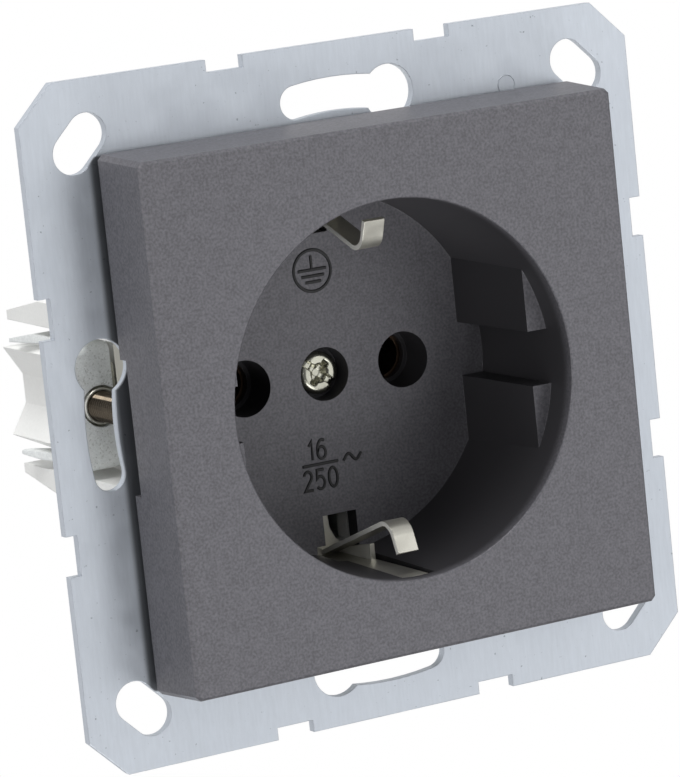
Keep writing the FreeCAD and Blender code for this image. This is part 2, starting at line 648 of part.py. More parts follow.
def rear_cover():
    """Lid on the rear of the base, with wire holes, pusher slots and four snap hooks."""
    plate = slab_xz(chamfered_square(HALF_BODY - REAR_COVER_CLEARANCE, BODY_HEIGHT / 2,
                                     BODY_CORNER), Y_COVER, BASE_REAR)
    outer = CAVITY_HALF_Z - REAR_COVER_CLEARANCE
    y_catch = Y_HOOK + HOOK_NOSE
    hooks = []
    for x in (-HOOK_X, HOOK_X):
        hook = slab_yz([(Y_COVER + OVERSHOOT, outer - HOOK_SHEET), (Y_HOOK, outer - HOOK_SHEET),
                        (Y_HOOK, outer), (y_catch - HOOK_NOSE / 2, outer + HOOK_REACH),
                        (y_catch, outer + HOOK_REACH), (y_catch, outer),
                        (Y_COVER + OVERSHOOT, outer)], x - HOOK_WIDTH / 2, x + HOOK_WIDTH / 2)
        hooks += [hook, mirrored_z(hook)]
    y0, y1 = Y_COVER - OVERSHOOT, BASE_REAR + OVERSHOOT
    cuts = []
    for x in terminal_places():
        cuts.append(rod(x, WIRE_HOLE_Z, WIRE_HOLE_DIA / 2, y0, y1))
    width = PUSHER_WIDTH / 2 + PUSHER_CLEARANCE
    height = PUSHER_HEIGHT / 2 + PUSHER_CLEARANCE
    for x in pusher_places():
        cuts.append(box(x - width, x + width, y0, y1, PUSHER_Z - height, PUSHER_Z + height))
    return fused([plate] + hooks).cut(cuts)


def terminal_places():
    near, far = TERMINAL_X
    return [-far, -near, -EARTH_TERMINAL_X, EARTH_TERMINAL_X, near, far]


def pusher_places():
    middle = sum(TERMINAL_X) / 2
    return [-middle, 0.0, middle]


def claw_tower():
    """Left tower between the claw's arms, with a valley along its middle."""
    root = -HALF_BODY + BODY_WALL / 2
    shoulder = -CLAW_X - TOWER_SHOULDER
    ridge = -CLAW_X - TOWER_RIDGE
    valley = -CLAW_X - TOWER_VALLEY
    half = [(valley, TOWER_VALLEY_HALF), (ridge, TOWER_RIDGE_HEIGHT),
            (shoulder, TOWER_ROOT_HEIGHT), (root, TOWER_ROOT_HEIGHT)]
    other = [(x, -z) for x, z in reversed(half)]
    tower = slab_xz(half + other, TOWER_START, TOWER_REAR)
    slope = TOWER_ROOT_HEIGHT - TOWER_RIDGE_HEIGHT
    trim = slab_yz([(FIN_SLOPE_START, TOWER_ROOT_HEIGHT),
                    (TOWER_REAR + OVERSHOOT, TOWER_ROOT_HEIGHT - slope),
                    (TOWER_REAR + OVERSHOOT, TOWER_ROOT_HEIGHT + OVERSHOOT)],
                   ridge - OVERSHOOT, -HALF_BODY)
    behind = box(-HALF_BODY, root + OVERSHOOT, Y_COVER, TOWER_REAR + OVERSHOOT,
                 -CLAW_HEIGHT, CLAW_HEIGHT)
    return tower.cut([trim, mirrored_z(trim), behind])


def claw_guard():
    """Left guard: two fins beside the claw and the bridge that carries its screw."""
    root = -HALF_BODY + BODY_WALL / 2
    fin = slab_yz([(0, FIN_INNER_HEIGHT), (FIN_REAR, FIN_INNER_HEIGHT + 0.3),
                   (FIN_REAR, FIN_REAR_HEIGHT), (FIN_SLOPE_START, FIN_ROOT_HEIGHT),
                   (0, FIN_ROOT_HEIGHT)], -CLAW_X - FIN_OUTER, root)
    fin = fin.cut(box(-HALF_BODY, root + OVERSHOOT, Y_COVER, FIN_REAR + OVERSHOOT,
                      0, FIN_ROOT_HEIGHT))
    bridge = box(-CLAW_X - BRIDGE_OUTER, -COLLAR_R, 0, BRIDGE_DEPTH, -FIN_INNER_HEIGHT - 0.5,
                 FIN_INNER_HEIGHT + 0.5)
    return [fin, mirrored_z(fin), bridge]


def base_cavity():
    """Hollow of the base, with the ribs, shelves and post left standing in it."""
    half_x, half_z = CAVITY_HALF_X, CAVITY_HALF_Z
    hollow = slab_xz(chamfered_square(half_x, half_z, BODY_CORNER - BODY_WALL), Y_CAVITY,
                     Y_COVER + OVERSHOOT)
    rib_in = CHAMBER_RIB_OFFSET - CHAMBER_RIB / 2
    rib_out = CHAMBER_RIB_OFFSET + CHAMBER_RIB / 2
    kept = both_sides(box(rib_in, rib_out, Y_CAVITY, Y_COVER, -half_z, half_z))
    y_shelf = Y_CAVITY + BAR_SHEET + 0.6
    y_end = PUSHER_TIP_Y + 0.5
    kept.append(box(-half_x, half_x, y_shelf, y_end, SHELF_TOP - SHELF_THICKNESS, SHELF_TOP))
    kept.append(box(-half_x, half_x, Y_CAVITY, Y_CAVITY + BAR_LENGTH, BAR_TOP,
                    BAR_TOP + SHELF_THICKNESS))
    cradle = SLEEVE_BORE / 2 + SLEEVE_SHEET + BRACKET_CLEARANCE
    kept += both_sides(box(rib_out, half_x, Y_CAVITY, Y_CAVITY + SLEEVE_LENGTH,
                           -cradle - SHELF_THICKNESS, -cradle))
    post = POST_SIDE / 2
    kept.append(box(-post, post, Y_CAVITY, Y_CAVITY + BUSH_LENGTH - 0.3, -post, post))
    return hollow.cut(kept)


def socket_base():
    """White housing: collar round the pot, closed body behind it and the claw guards."""
    collar = rod(0, 0, COLLAR_OUTER_R, 0, Y_BASE + FRONT_FLANGE)
    pad = RIVET_BOSS_SIDE / 2
    bosses = [box(x - pad, x + pad, 0, RIVET_BOSS_HEIGHT, z - pad, z + pad)
              for x, z in rivet_places()]
    body = slab_xz(chamfered_square(HALF_BODY, BODY_HEIGHT / 2, BODY_CORNER), Y_BASE, Y_COVER)
    solid = fused([collar, body] + bosses)
    pocket = box(-CLAW_X - BRIDGE_OUTER, -HALF_BODY, BRIDGE_DEPTH, BASE_REAR + OVERSHOOT,
                 -FIN_INNER_HEIGHT, FIN_INNER_HEIGHT)
    solid = solid.cut(both_sides(pocket))
    for piece in claw_guard() + [claw_tower()]:
        solid = solid.fuse(both_sides(piece))

    cuts = [rod(0, 0, COLLAR_R, -OVERSHOOT, Y_BASE), base_cavity()]
    cuts += both_sides(rod(-CLAW_X, 0, CLAW_SCREW_DIA / 2 + THREAD_CLEARANCE, -OVERSHOOT,
                           BRIDGE_DEPTH + OVERSHOOT))
    cuts += both_sides(rod(PIN_X, 0, PIN_TUBE_R + PIN_TUBE_CLEARANCE, Y_BASE - OVERSHOOT,
                           Y_CAVITY + OVERSHOOT))
    cuts += [rod(x, z, RIVET_DIA / 2 + RIVET_CLEARANCE, -OVERSHOOT,
                 RIVET_LENGTH + RIVET_CLEARANCE) for x, z in rivet_places()]
    gap = BRACKET_CLEARANCE
    pocket_depth = (Y_BASE - OVERSHOOT, Y_BRACKET_BACK)
    cuts.append(box(-EARTH_CENTRE_HALF_WIDTH - gap, EARTH_CENTRE_HALF_WIDTH + gap, *pocket_depth,
                    -EARTH_CENTRE_HALF_HEIGHT - gap, EARTH_CENTRE_HALF_HEIGHT + gap))
    bar_half = EARTH_TERMINAL_X + SPRING_WIDTH / 2
    cuts.append(box(-EARTH_ARM_LEFT - gap, bar_half + gap, *pocket_depth, -COLLAR_R, COLLAR_R))
    cuts.append(box(-bar_half - gap, bar_half + gap, Y_BASE - OVERSHOOT, Y_CAVITY + OVERSHOOT,
                    BAR_UNDERSIDE - gap, BAR_TOP))
    for low, high in ((BAR_TOP + SHELF_THICKNESS + gap, EARTH_WINDOW_TOP),
                      (-EARTH_WINDOW_TOP, -EARTH_SLOT_INNER + gap)):
        cuts.append(box(-EARTH_ARM_RIGHT, EARTH_WINDOW_RIGHT, Y_BASE - OVERSHOOT,
                        Y_CAVITY + OVERSHOOT, low, high))
    cuts.append(rod(0, 0, BOSS_POCKET_R, Y_BASE - OVERSHOOT, Y_BOSS + gap))
    cuts.append(rod(0, 0, BUSH_DIA / 2, Y_CAVITY - 0.6, Y_CAVITY + BUSH_LENGTH + OVERSHOOT))
    cuts.append(rod(0, 0, CENTRE_SCREW_DIA / 2 + gap, Y_BASE, Y_CAVITY + OVERSHOOT))
    reach = HOOK_WIDTH / 2 + HOOK_CLEARANCE
    for x in (-HOOK_X, HOOK_X):
        window = box(x - reach, x + reach, Y_HOOK - HOOK_CLEARANCE,
                     Y_HOOK + HOOK_NOSE + HOOK_CLEARANCE, CAVITY_HALF_Z - OVERSHOOT / 2,
                     BODY_HEIGHT / 2 + OVERSHOOT)
        cuts += [window, mirrored_z(window)]
    return solid.cut(cuts)


def bent_block(half, y_front, radius):
    """Block behind y_front whose two front edges along X are rounded."""
    block = box(-CLAW_X - CLAW_TIP_OUTER - OVERSHOOT, -CLAW_X - CLAW_TAB_INNER + OVERSHOOT,
                y_front, BASE_REAR, -half, half)
    edges = [e for e in block.Edges if on_plane(e, y_front)
             and abs(e.Vertexes[0].Z - e.Vertexes[-1].Z) < 1e-6]
    return block.makeFillet(radius, edges)


def claw():
    """Left claw: tab with an open screw notch and a round inner edge, and two pointed arms."""
    half = CLAW_HEIGHT / 2
    y0, y1 = CLAW_TAB_FRONT, Y_NUT
    fork = bent_block(half, y0, CLAW_BEND).cut(
        bent_block(half - CLAW_SHEET, y1, CLAW_BEND - CLAW_SHEET))
    inner, outer = -CLAW_X - CLAW_TAB_INNER, -CLAW_X - CLAW_TAB_OUTER
    tip = -CLAW_X - CLAW_TIP_OUTER
    x_round, y_round = inner - CLAW_ROUND, y1 - CLAW_ROUND_STEP - CLAW_ROUND
    reach = CLAW_ROUND * math.sqrt(0.5)
    outline = [(inner, y_round), (inner, y0), (outer, y0),
               (-CLAW_X - CLAW_WAIST_OUTER, CLAW_WAIST_Y), (tip, CLAW_TIP_Y),
               (tip + 0.4, CLAW_TIP_Y + 0.3), (tip + 1.1, CLAW_TIP_Y + 0.1),
               (-CLAW_X - CLAW_WAIST_INNER, CLAW_WAIST_Y + CLAW_TIP_BACK),
               (x_round, y_round + CLAW_ROUND)]
    points = [Vector(x, y, -half) for x, y in outline]
    middle = Vector(x_round + reach, y_round + reach, -half)
    edges = Part.makePolygon(points).Edges + [Part.Arc(points[-1], middle, points[0]).toShape()]
    side = Part.Face(Part.Wire(edges)).extrude(Vector(0, 0, CLAW_HEIGHT))
    notch = rod(-CLAW_X, 0, CLAW_NOTCH_DIA / 2, y0 - OVERSHOOT, y1 + OVERSHOOT)
    slope = (CLAW_SHEET - CLAW_TIP_SHEET) / CLAW_TIP_TAPER
    y_trim = CLAW_TIP_Y - CLAW_TIP_TAPER
    y_past = CLAW_TIP_Y + OVERSHOOT
    trim = slab_yz([(y_trim, half), (y_past, half - slope * (y_past - y_trim)),
                    (y_past, half + OVERSHOOT)], tip - OVERSHOOT, inner)
    return fork.common(side).cut([notch, trim, mirrored_z(trim)])


def claw_nut():
    """Left nut plate that draws the claw forward."""
    half = NUT_WIDTH / 2
    plate = box(-CLAW_X - half, -CLAW_X + half, Y_NUT, Y_NUT + NUT_THICKNESS,
                -NUT_HEIGHT / 2, NUT_HEIGHT / 2)
    bore = rod(-CLAW_X, 0, CLAW_SCREW_DIA / 2 + THREAD_CLEARANCE, Y_NUT - OVERSHOOT,
               Y_NUT + NUT_THICKNESS + OVERSHOOT)
    return plate.cut(bore)


def claw_screw():
    """Left claw screw: slotted head on the bridge and shank through the nut plate."""
    y_end = Y_NUT + NUT_THICKNESS + NUT_TO_SCREW_END
    head = rod(-CLAW_X, 0, CLAW_HEAD_DIA / 2, -CLAW_HEAD_HEIGHT, 0)
    shank = rod(-CLAW_X, 0, CLAW_SCREW_DIA / 2, 0, y_end)
    slot = box(-CLAW_X - CLAW_HEAD_DIA, -CLAW_X + CLAW_HEAD_DIA, -CLAW_HEAD_HEIGHT - OVERSHOOT,
               0.8 - CLAW_HEAD_HEIGHT, -0.4, 0.4)
    return fused([head, shank]).cut(slot)


def main():
    os.makedirs("parts", exist_ok=True)
    save("support_ring", support_ring())
    save("ring_rivets", ring_rivets())
    save("centre_plate", centre_plate())
    save("centre_screw", centre_screw())
    save("centre_bush", centre_bush())
    save("socket_base", socket_base())
    save("rear_cover", rear_cover())
    save("earth_bracket", earth_bracket())
    contact = pole_contact()
    save("phase_contact", contact)
    save("neutral_contact", mirrored_x(contact))
    for number, x in enumerate(terminal_places(), start=1):
        save(f"clamp_spring_{number}", clamp_spring(x))
    for name, x in zip(("neutral", "earth", "phase"), pusher_places()):
        save("release_pusher_" + name, release_pusher(x))
    for name, maker in (("claw", claw), ("claw_nut", claw_nut), ("claw_screw", claw_screw)):
        left = maker()
        save(name + "_left", left)
        save(name + "_right", mirrored_x(left))


main()
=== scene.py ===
"""Finishes, markings, threads, light and camera of a flush-mounted type F wall socket."""

import logging
import math
from dataclasses import dataclass, field
from enum import Enum
from typing import Sequence

import bmesh
import bpy
from mathutils import Euler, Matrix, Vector


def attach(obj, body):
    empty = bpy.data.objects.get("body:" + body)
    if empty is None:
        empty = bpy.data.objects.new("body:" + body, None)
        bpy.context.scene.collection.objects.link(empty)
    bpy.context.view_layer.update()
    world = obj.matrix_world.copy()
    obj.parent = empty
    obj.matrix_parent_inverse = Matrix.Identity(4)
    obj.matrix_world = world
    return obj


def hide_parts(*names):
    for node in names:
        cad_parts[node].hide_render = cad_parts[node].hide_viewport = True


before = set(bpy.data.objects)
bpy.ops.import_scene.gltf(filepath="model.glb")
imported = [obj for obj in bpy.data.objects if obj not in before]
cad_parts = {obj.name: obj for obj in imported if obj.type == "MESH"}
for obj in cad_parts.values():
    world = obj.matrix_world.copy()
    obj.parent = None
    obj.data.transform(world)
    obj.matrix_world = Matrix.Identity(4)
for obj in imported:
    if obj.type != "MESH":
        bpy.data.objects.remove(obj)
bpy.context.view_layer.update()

LOG = logging.getLogger("wall_socket")
MM = 0.001

# From the socket's axis to the axis of each claw screw, in millimetres
CLAW_X = 23.4
SIDES = (("left", -1), ("right", 1))

# How far a piece's foot reaches into the surface it stands on, in millimetres
SINK = 0.02

# Points closer than this are one point, in millimetres
NEAR = 1e-6

# Rays with which each point works out its rounded edge
BEVEL_SAMPLES = 6

# Places of the colour mix's sockets
SHARE, FIRST, SECOND, MIXED = 0, 6, 7, 2

Point = tuple[float, float]
Place = tuple[float, float, float]
Mesh = bmesh.types.BMesh
Socket = bpy.types.NodeSocket


class Surface(Enum):
    """How a finish treats its surface."""

    LACQUER = "metallic lacquer on moulded plastic"
    MOULDED = "moulded plastic"
    # HOUSING's duller tone at the bridges is painted shade
    HOUSING = "moulded plastic, dull with grease at the bridges"
    ROLLED = "rolled and zinc-coated sheet"
    STIPPLED = "stippled zinc plating"
    BRIGHT = "bright plated metal"
    STAMPED = "bright plated strip with sheared edges"


@dataclass(frozen=True)
class Finish:
    """One finish, with sizes in millimetres.

    Attributes:
        name: Name of the material.
        colour: Main colour as sRGB hex.
        surface: Treatment of the surface.
        roughness: Mean roughness.
        metallic: Metallic share.
        grain: Size of the fine grain.
        tint: Share by which the grain lightens and darkens the colour.
        relief: Height of the grain.
        edge: Radius that edges seem to have.
    """

    name: str
    colour: str
    surface: Surface
    roughness: float
    metallic: float = 0.0
    grain: float = 0.3
    tint: float = 0.05
    relief: float = 0.002
    edge: float = 0.1


# Lacquered ABS: a soft sheen over fine flakes. Real flakes are some 0.05 mm across and
# wouldn't show, so they are drawn about five times as coarse.
COVER = Finish("anthracite_lacquer", "#636267", Surface.LACQUER, roughness=0.46, metallic=0.25,
               grain=0.28, tint=0.26, relief=0.006)
# Raised lettering in bare plastic: darker than the lacquer round it, and matt
MARKING = Finish("moulded_marking", "#1d1d1f", Surface.MOULDED, roughness=0.5, grain=0.2,
                 relief=0.003, edge=0.05)
# Galvanised steel sheet: cool grey with a blurred mirror image, rolling lines and a few pits
RING = Finish("zinc_sheet", "#c2c8d0", Surface.ROLLED, roughness=0.35, metallic=0.55,
              grain=0.5, tint=0.07, relief=0.004, edge=0.13)
# Plated steel rivets: plain bright heads
RIVET = Finish("rivet_steel", "#c8cbce", Surface.BRIGHT, roughness=0.35, metallic=1.0,
               relief=0.003, edge=0.15)
# Zinc-plated and stippled steel: nearly white, dull, with small bumps and grey specks
CLAW = Finish("claw_zinc", "#f0f3f2", Surface.STIPPLED, roughness=0.4, metallic=0.1,
              grain=0.24, tint=0.07, relief=0.012, edge=0.2)
# Nickel-plated steel: warm and mirror-like
SCREW = Finish("screw_steel", "#b9b8ab", Surface.BRIGHT, roughness=0.24, metallic=1.0,
               grain=0.2, edge=0.08)
# Passivated and oiled steel: a dark bronze gleam
CLAW_SCREW = Finish("claw_screw_steel", "#5c5449", Surface.BRIGHT, roughness=0.2, metallic=1.0,
                    grain=0.2, edge=0.08)
# Tinned bronze strip: satin faces, and matt cut edges that carry a pale painted highlight where
# they face left
STRIP = Finish("tinned_strip", "#c6c4ba", Surface.STAMPED, roughness=0.34, metallic=0.75,
               grain=0.25, tint=0.04, edge=0.12)
# Bare contact copper, deep in the pin holes: a dull brown, darker than copper's own colour, as
# painted shade of the deep holes
COPPER = Finish("contact_copper", "#6b5849", Surface.BRIGHT, roughness=0.42, metallic=1.0,
                tint=0.06)
# Stainless spring strip: clear bright grey
SPRING = Finish("spring_steel", "#b5b7b9", Surface.BRIGHT, roughness=0.28, metallic=1.0,
                edge=0.05)
# Turned brass: yellow, with fine turning lines
BRASS = Finish("bush_brass", "#cbb06a", Surface.BRIGHT, roughness=0.3, metallic=1.0)
# Thermoset of the base: white with a faint grain and a soft gloss
BASE = Finish("white_base", "#eeeeeb", Surface.HOUSING, roughness=0.42, grain=0.35, tint=0.02,
              relief=0.006, edge=0.15)
# Polyamide of the lid: white like the base, a little more matt
REAR = Finish("white_cover", "#f0f0ee", Surface.MOULDED, roughness=0.46, grain=0.35, tint=0.02,
              relief=0.008, edge=0.15)
# Polyamide of the pushers: plain mid grey
PUSHER = Finish("grey_pusher", "#a3a6a8", Surface.MOULDED, roughness=0.45, tint=0.03,
                relief=0.006, edge=0.12)

# Finish of each CAD node, by the start of its name
CAD_FINISHES: dict[str, Finish] = {
    "centre_plate": COVER, "support_ring": RING, "ring_rivets": RIVET, "centre_screw": SCREW,
    "centre_bush": BRASS, "socket_base": BASE, "rear_cover": REAR, "earth_bracket": STRIP,
    "phase_contact": COPPER, "neutral_contact": COPPER, "clamp_spring": SPRING,
    "release_pusher": PUSHER, "claw_screw": CLAW_SCREW, "claw_nut": SCREW, "claw_left": CLAW,
    "claw_right": CLAW,
}


def linear(hex_colour: str) -> tuple[float, float, float, float]:
    """Turns an sRGB hex colour into linear values.

    Args:
        hex_colour: Colour such as "#80a0c0".

    Returns:
        Linear red, green and blue, and an alpha of 1.
    """
    channels = [int(hex_colour[i:i + 2], 16) / 255 for i in (1, 3, 5)]
    values = [c / 12.92 if c <= 0.04045 else ((c + 0.055) / 1.055) ** 2.4 for c in channels]
    return values[0], values[1], values[2], 1.0


def metres(*sizes: float) -> tuple[float, ...]:
    """Turns millimetres into metres."""
    return tuple(size * MM for size in sizes)


class Kind(Enum):
    """Kinds of shader node, each with Blender's type name and its settings."""

    COORDINATES = ("ShaderNodeTexCoord", {})
    GEOMETRY = ("ShaderNodeNewGeometry", {})
    SPLIT = ("ShaderNodeSeparateXYZ", {})
    MAPPING = ("ShaderNodeMapping", {})
    NOISE = ("ShaderNodeTexNoise", {})
    CELLS = ("ShaderNodeTexVoronoi", {})
    STEP = ("ShaderNodeMapRange", {"interpolation_type": "SMOOTHSTEP"})
    PLUS = ("ShaderNodeMath", {"operation": "ADD"})
    MINUS = ("ShaderNodeMath", {"operation": "SUBTRACT"})
    TIMES = ("ShaderNodeMath", {"operation": "MULTIPLY"})
    LARGER = ("ShaderNodeMath", {"operation": "MAXIMUM"})
    ROOT = ("ShaderNodeMath", {"operation": "SQRT"})
    UNSIGNED = ("ShaderNodeMath", {"operation": "ABSOLUTE"})
    SCALED = ("ShaderNodeVectorMath", {"operation": "SCALE"})
    MIX = ("ShaderNodeMix", {"data_type": "RGBA"})
    BEVEL = ("ShaderNodeBevel", {"samples": BEVEL_SAMPLES})
    BUMP = ("ShaderNodeBump", {})
    SHADER = ("ShaderNodeBsdfPrincipled", {})
    MATERIAL = ("ShaderNodeOutputMaterial", {})
    LIGHT_PATH = ("ShaderNodeLightPath", {})
    BACKGROUND = ("ShaderNodeBackground", {})
    BLEND = ("ShaderNodeMixShader", {})
    WORLD = ("ShaderNodeOutputWorld", {})

    def __init__(self, type_name: str, settings: dict[str, object]) -> None:
        """Keeps the type name and the settings."""
        self.type_name = type_name
        self.settings = settings


class NodeTree:
    """Thin wrapper that adds and joins shader nodes."""

    def __init__(self, tree: bpy.types.NodeTree) -> None:
        """Takes over a node tree and empties it."""
        self.tree = tree
        self.tree.nodes.clear()

    def add(self, kind: Kind,
            inputs: Sequence[object] | dict[str | int, object] = ()) -> Sequence[Socket]:
        """Adds a node with its settings and links.

        Args:
            kind: Kind of node.
            inputs: Values or sockets for its inputs, in order, or by name or index.

        Returns:
            The node's outputs.
        """
        node = self.tree.nodes.new(kind.type_name)
        for key, value in kind.settings.items():
            setattr(node, key, value)
        for key, value in inputs.items() if isinstance(inputs, dict) else enumerate(inputs):
            if isinstance(value, Socket):
                self.tree.links.new(value, node.inputs[key])
            else:
                node.inputs[key].default_value = value
        return node.outputs


@dataclass(frozen=True)
class Grain:
    """Blobs of noise.

    Attributes:
        size: Size of a blob in millimetres.
        detail: Number of finer layers.
        roughness: Strength of the finer layers.
    """

    size: float
    detail: float = 2.0
    roughness: float = 0.5

    def inputs(self, place: Socket) -> dict[str, object]:
        """Gives a noise node's inputs that draw the blobs at a place."""
        return {"Vector": place, "Scale": 1 / (self.size * MM), "Detail": self.detail,
                "Roughness": self.roughness}


@dataclass
class Look:
    """What a pattern gives the shader.

    Attributes:
        colour: Socket of the base colour.
        roughness: Roughness, or its socket.
        height: Socket of the bump's height.
        metallic: Metallic share, or its socket.
    """

    colour: Socket
    roughness: float | Socket
    height: Socket
    metallic: float | Socket


class Pattern:
    """Nodes of one kind of surface, on the piece's own coordinates.

    Moulded plastic has this class itself: a faint fine grain and slightly uneven gloss. A pair
    of places, facings or levels says where a smooth step starts and where it ends.
    """

    GLOSS = Grain(6.0)
    GLOSS_LEVEL = (0.3, 0.7)
    GLOSS_REACH = (0.04, 0.05)
    TINT_LEVEL = (0.25, 0.75)

    def __init__(self, nodes: NodeTree, finish: Finish) -> None:
        """Starts from the piece's own coordinates.

        Args:
            nodes: Tree that takes the nodes.
            finish: Finish to draw.
        """
        self.nodes = nodes
        self.finish = finish
        self.place = nodes.add(Kind.COORDINATES)["Object"]

    def shaded(self, value: Socket) -> Socket:
        """Makes the finish's colour darker and lighter.

        Args:
            value: Socket of a value round 0.5.

        Returns:
            Socket of the colour.
        """
        tint = self.finish.tint
        factor = self.nodes.add(Kind.STEP, (value, *self.TINT_LEVEL, 1 - tint, 1 + tint))[0]
        colour = linear(self.finish.colour)[:3]
        return self.nodes.add(Kind.SCALED, {0: colour, "Scale": factor})[0]

    def glossed(self, value: Socket) -> Socket:
        """Makes the finish's gloss uneven.

        Args:
            value: Socket of a value round 0.5.

        Returns:
            Socket of the roughness.
        """
        low = self.finish.roughness - self.GLOSS_REACH[0]
        high = self.finish.roughness + self.GLOSS_REACH[1]
        return self.nodes.add(Kind.STEP, (value, *self.GLOSS_LEVEL, low, high))[0]

    def look(self) -> Look:
        """Draws moulded plastic.

        Returns:
            Its look.
        """
        grain = self.nodes.add(Kind.NOISE, Grain(self.finish.grain).inputs(self.place))[0]
        gloss = self.nodes.add(Kind.NOISE, self.GLOSS.inputs(self.place))[0]
        return Look(self.shaded(grain), self.glossed(gloss), grain, self.finish.metallic)


class Lacquered(Pattern):
    """Flakes in lacquer, and bare dark plastic on the recess's walls and in its holes."""

    CLOUD_SCALE = 4
    FLAKE_SHARE, CLOUD_SHARE = 0.7, 0.3
    WALL_RADIUS = metres(20.5, 20.3)
    WALL_DEPTH = metres(-10.3, -8.5)
    WALL_FACING = (-0.75, -0.45)
    WALL_COLOUR = "#3b3a3d"
    HOLE_DEPTH = metres(7.7, 8.5)
    HOLE_COLOUR = "#3c3b3e"

    def look(self) -> Look:
        """Draws the lacquered cover.

        Returns:
            Its look.
        """
        add, place, size = self.nodes.add, self.place, self.finish.grain
        flakes = add(Kind.NOISE, Grain(size, detail=1.0).inputs(place))[0]
        soft = Grain(size * self.CLOUD_SCALE, detail=3.0, roughness=0.6)
        clouds = add(Kind.NOISE, soft.inputs(place))[0]
        value = add(Kind.PLUS, (add(Kind.TIMES, (flakes, self.FLAKE_SHARE))[0],
                                add(Kind.TIMES, (clouds, self.CLOUD_SHARE))[0]))[0]
        x, y, z = add(Kind.SPLIT, (place,))
        square = add(Kind.PLUS, (add(Kind.TIMES, (x, x))[0], add(Kind.TIMES, (z, z))[0]))[0]
        radius = add(Kind.ROOT, (square,))[0]
        facing = add(Kind.SPLIT, (add(Kind.GEOMETRY)["Normal"],))[1]
        inside = add(Kind.STEP, (radius, *self.WALL_RADIUS))[0]
        behind_face = add(Kind.STEP, (y, *self.WALL_DEPTH))[0]
        sideways = add(Kind.STEP, (facing, *self.WALL_FACING))[0]
        bare = add(Kind.TIMES, (add(Kind.TIMES, (inside, behind_face))[0], sideways))[0]
        walls = add(Kind.MIX, {SHARE: bare, FIRST: self.shaded(value),
                               SECOND: linear(self.WALL_COLOUR)})[MIXED]
        deep = add(Kind.STEP, (y, *self.HOLE_DEPTH))[0]
        colour = add(Kind.MIX, {SHARE: deep, FIRST: walls,
                                SECOND: linear(self.HOLE_COLOUR)})[MIXED]
        return Look(colour, self.finish.roughness, value, self.finish.metallic)


class Housing(Pattern):
    """Moulded plastic with painted shade, a duller tone, on the ends of the bridges behind the
    ring.
    """

    END_X = metres(25.8, 25.6)
    END_Z = metres(8.5, 7.5)
    END_DEPTH = metres(5.2, 4.8)
    BRIDGE_SHADE_COLOUR = "#aaa79b"

    def look(self) -> Look:
        """Draws the white base.

        Returns:
            Its look.
        """
        add, look = self.nodes.add, super().look()
        x, y, z = add(Kind.SPLIT, (self.place,))
        outward = add(Kind.STEP, (add(Kind.UNSIGNED, (x,))[0], *self.END_X))[0]
        upward = add(Kind.STEP, (add(Kind.UNSIGNED, (z,))[0], *self.END_Z))[0]
        inward = add(Kind.STEP, (y, *self.END_DEPTH))[0]
        # Painted shade: a duller olive-grey tone on the bridges' ends behind the ring, in place of
        # the shade there
        ends = add(Kind.TIMES, (add(Kind.TIMES, (outward, upward))[0], inward))[0]
        look.colour = add(Kind.MIX, {SHARE: ends, FIRST: look.colour,
                                     SECOND: linear(self.BRIDGE_SHADE_COLOUR)})[MIXED]
        return look


class Rolled(Pattern):
    """Mottled zinc with rolling lines and pits, and painted shade under the cover and close beside
    it.
    """

    GLOSS_REACH = (0.07, 0.08)
    STRETCH = (1.0, 1.0, 0.12)
    LINE_SCALE = 0.6
    MOTTLE = Grain(5.0, detail=4.0, roughness=0.6)
    LINE_SHARE, MOTTLE_SHARE = 0.4, 0.6
    PITS = Grain(0.45)
    PIT_LEVEL = (0.70, 0.78)
    PIT_COLOUR = "#8d949b"
    COVER_X = metres(27.8, 28.6)
    COVER_Z = metres(27.4, 27.7)
    FRONT = metres(-0.6, -0.9)
    SHADE_SHARE = 0.8
    SHADE_COLOUR = "#26262a"

    def look(self) -> Look:
        """Draws the support ring.

        Returns:
            Its look.
        """
        add, place = self.nodes.add, self.place
        stretched = add(Kind.MAPPING, {"Vector": place, "Scale": self.STRETCH})[0]
        fine = Grain(self.finish.grain * self.LINE_SCALE, detail=3.0, roughness=0.6)
        lines = add(Kind.NOISE, fine.inputs(stretched))[0]
        mottle = add(Kind.NOISE, self.MOTTLE.inputs(place))[0]
        value = add(Kind.PLUS, (add(Kind.TIMES, (lines, self.LINE_SHARE))[0],
                                add(Kind.TIMES, (mottle, self.MOTTLE_SHARE))[0]))[0]
        pits = add(Kind.STEP, (add(Kind.NOISE, self.PITS.inputs(place))[0], *self.PIT_LEVEL))[0]
        clean = add(Kind.MIX, {SHARE: pits, FIRST: self.shaded(value),
                               SECOND: linear(self.PIT_COLOUR)})[MIXED]
        # Painted shade: the ring's front turns dark under the cover's edge and just beside it
        x, y, z = add(Kind.SPLIT, (place,))
        across = add(Kind.STEP, (add(Kind.UNSIGNED, (x,))[0], *self.COVER_X, self.SHADE_SHARE,
                                 0.0))[0]
        up = add(Kind.STEP, (add(Kind.UNSIGNED, (z,))[0], *self.COVER_Z, 1.0, 0.0))[0]
        front = add(Kind.STEP, (y, *self.FRONT))[0]
        shade = add(Kind.TIMES, (add(Kind.TIMES, (across, up))[0], front))[0]
        colour = add(Kind.MIX, {SHARE: shade, FIRST: clean,
                                SECOND: linear(self.SHADE_COLOUR)})[MIXED]
        return Look(colour, self.glossed(mottle), value, self.finish.metallic)


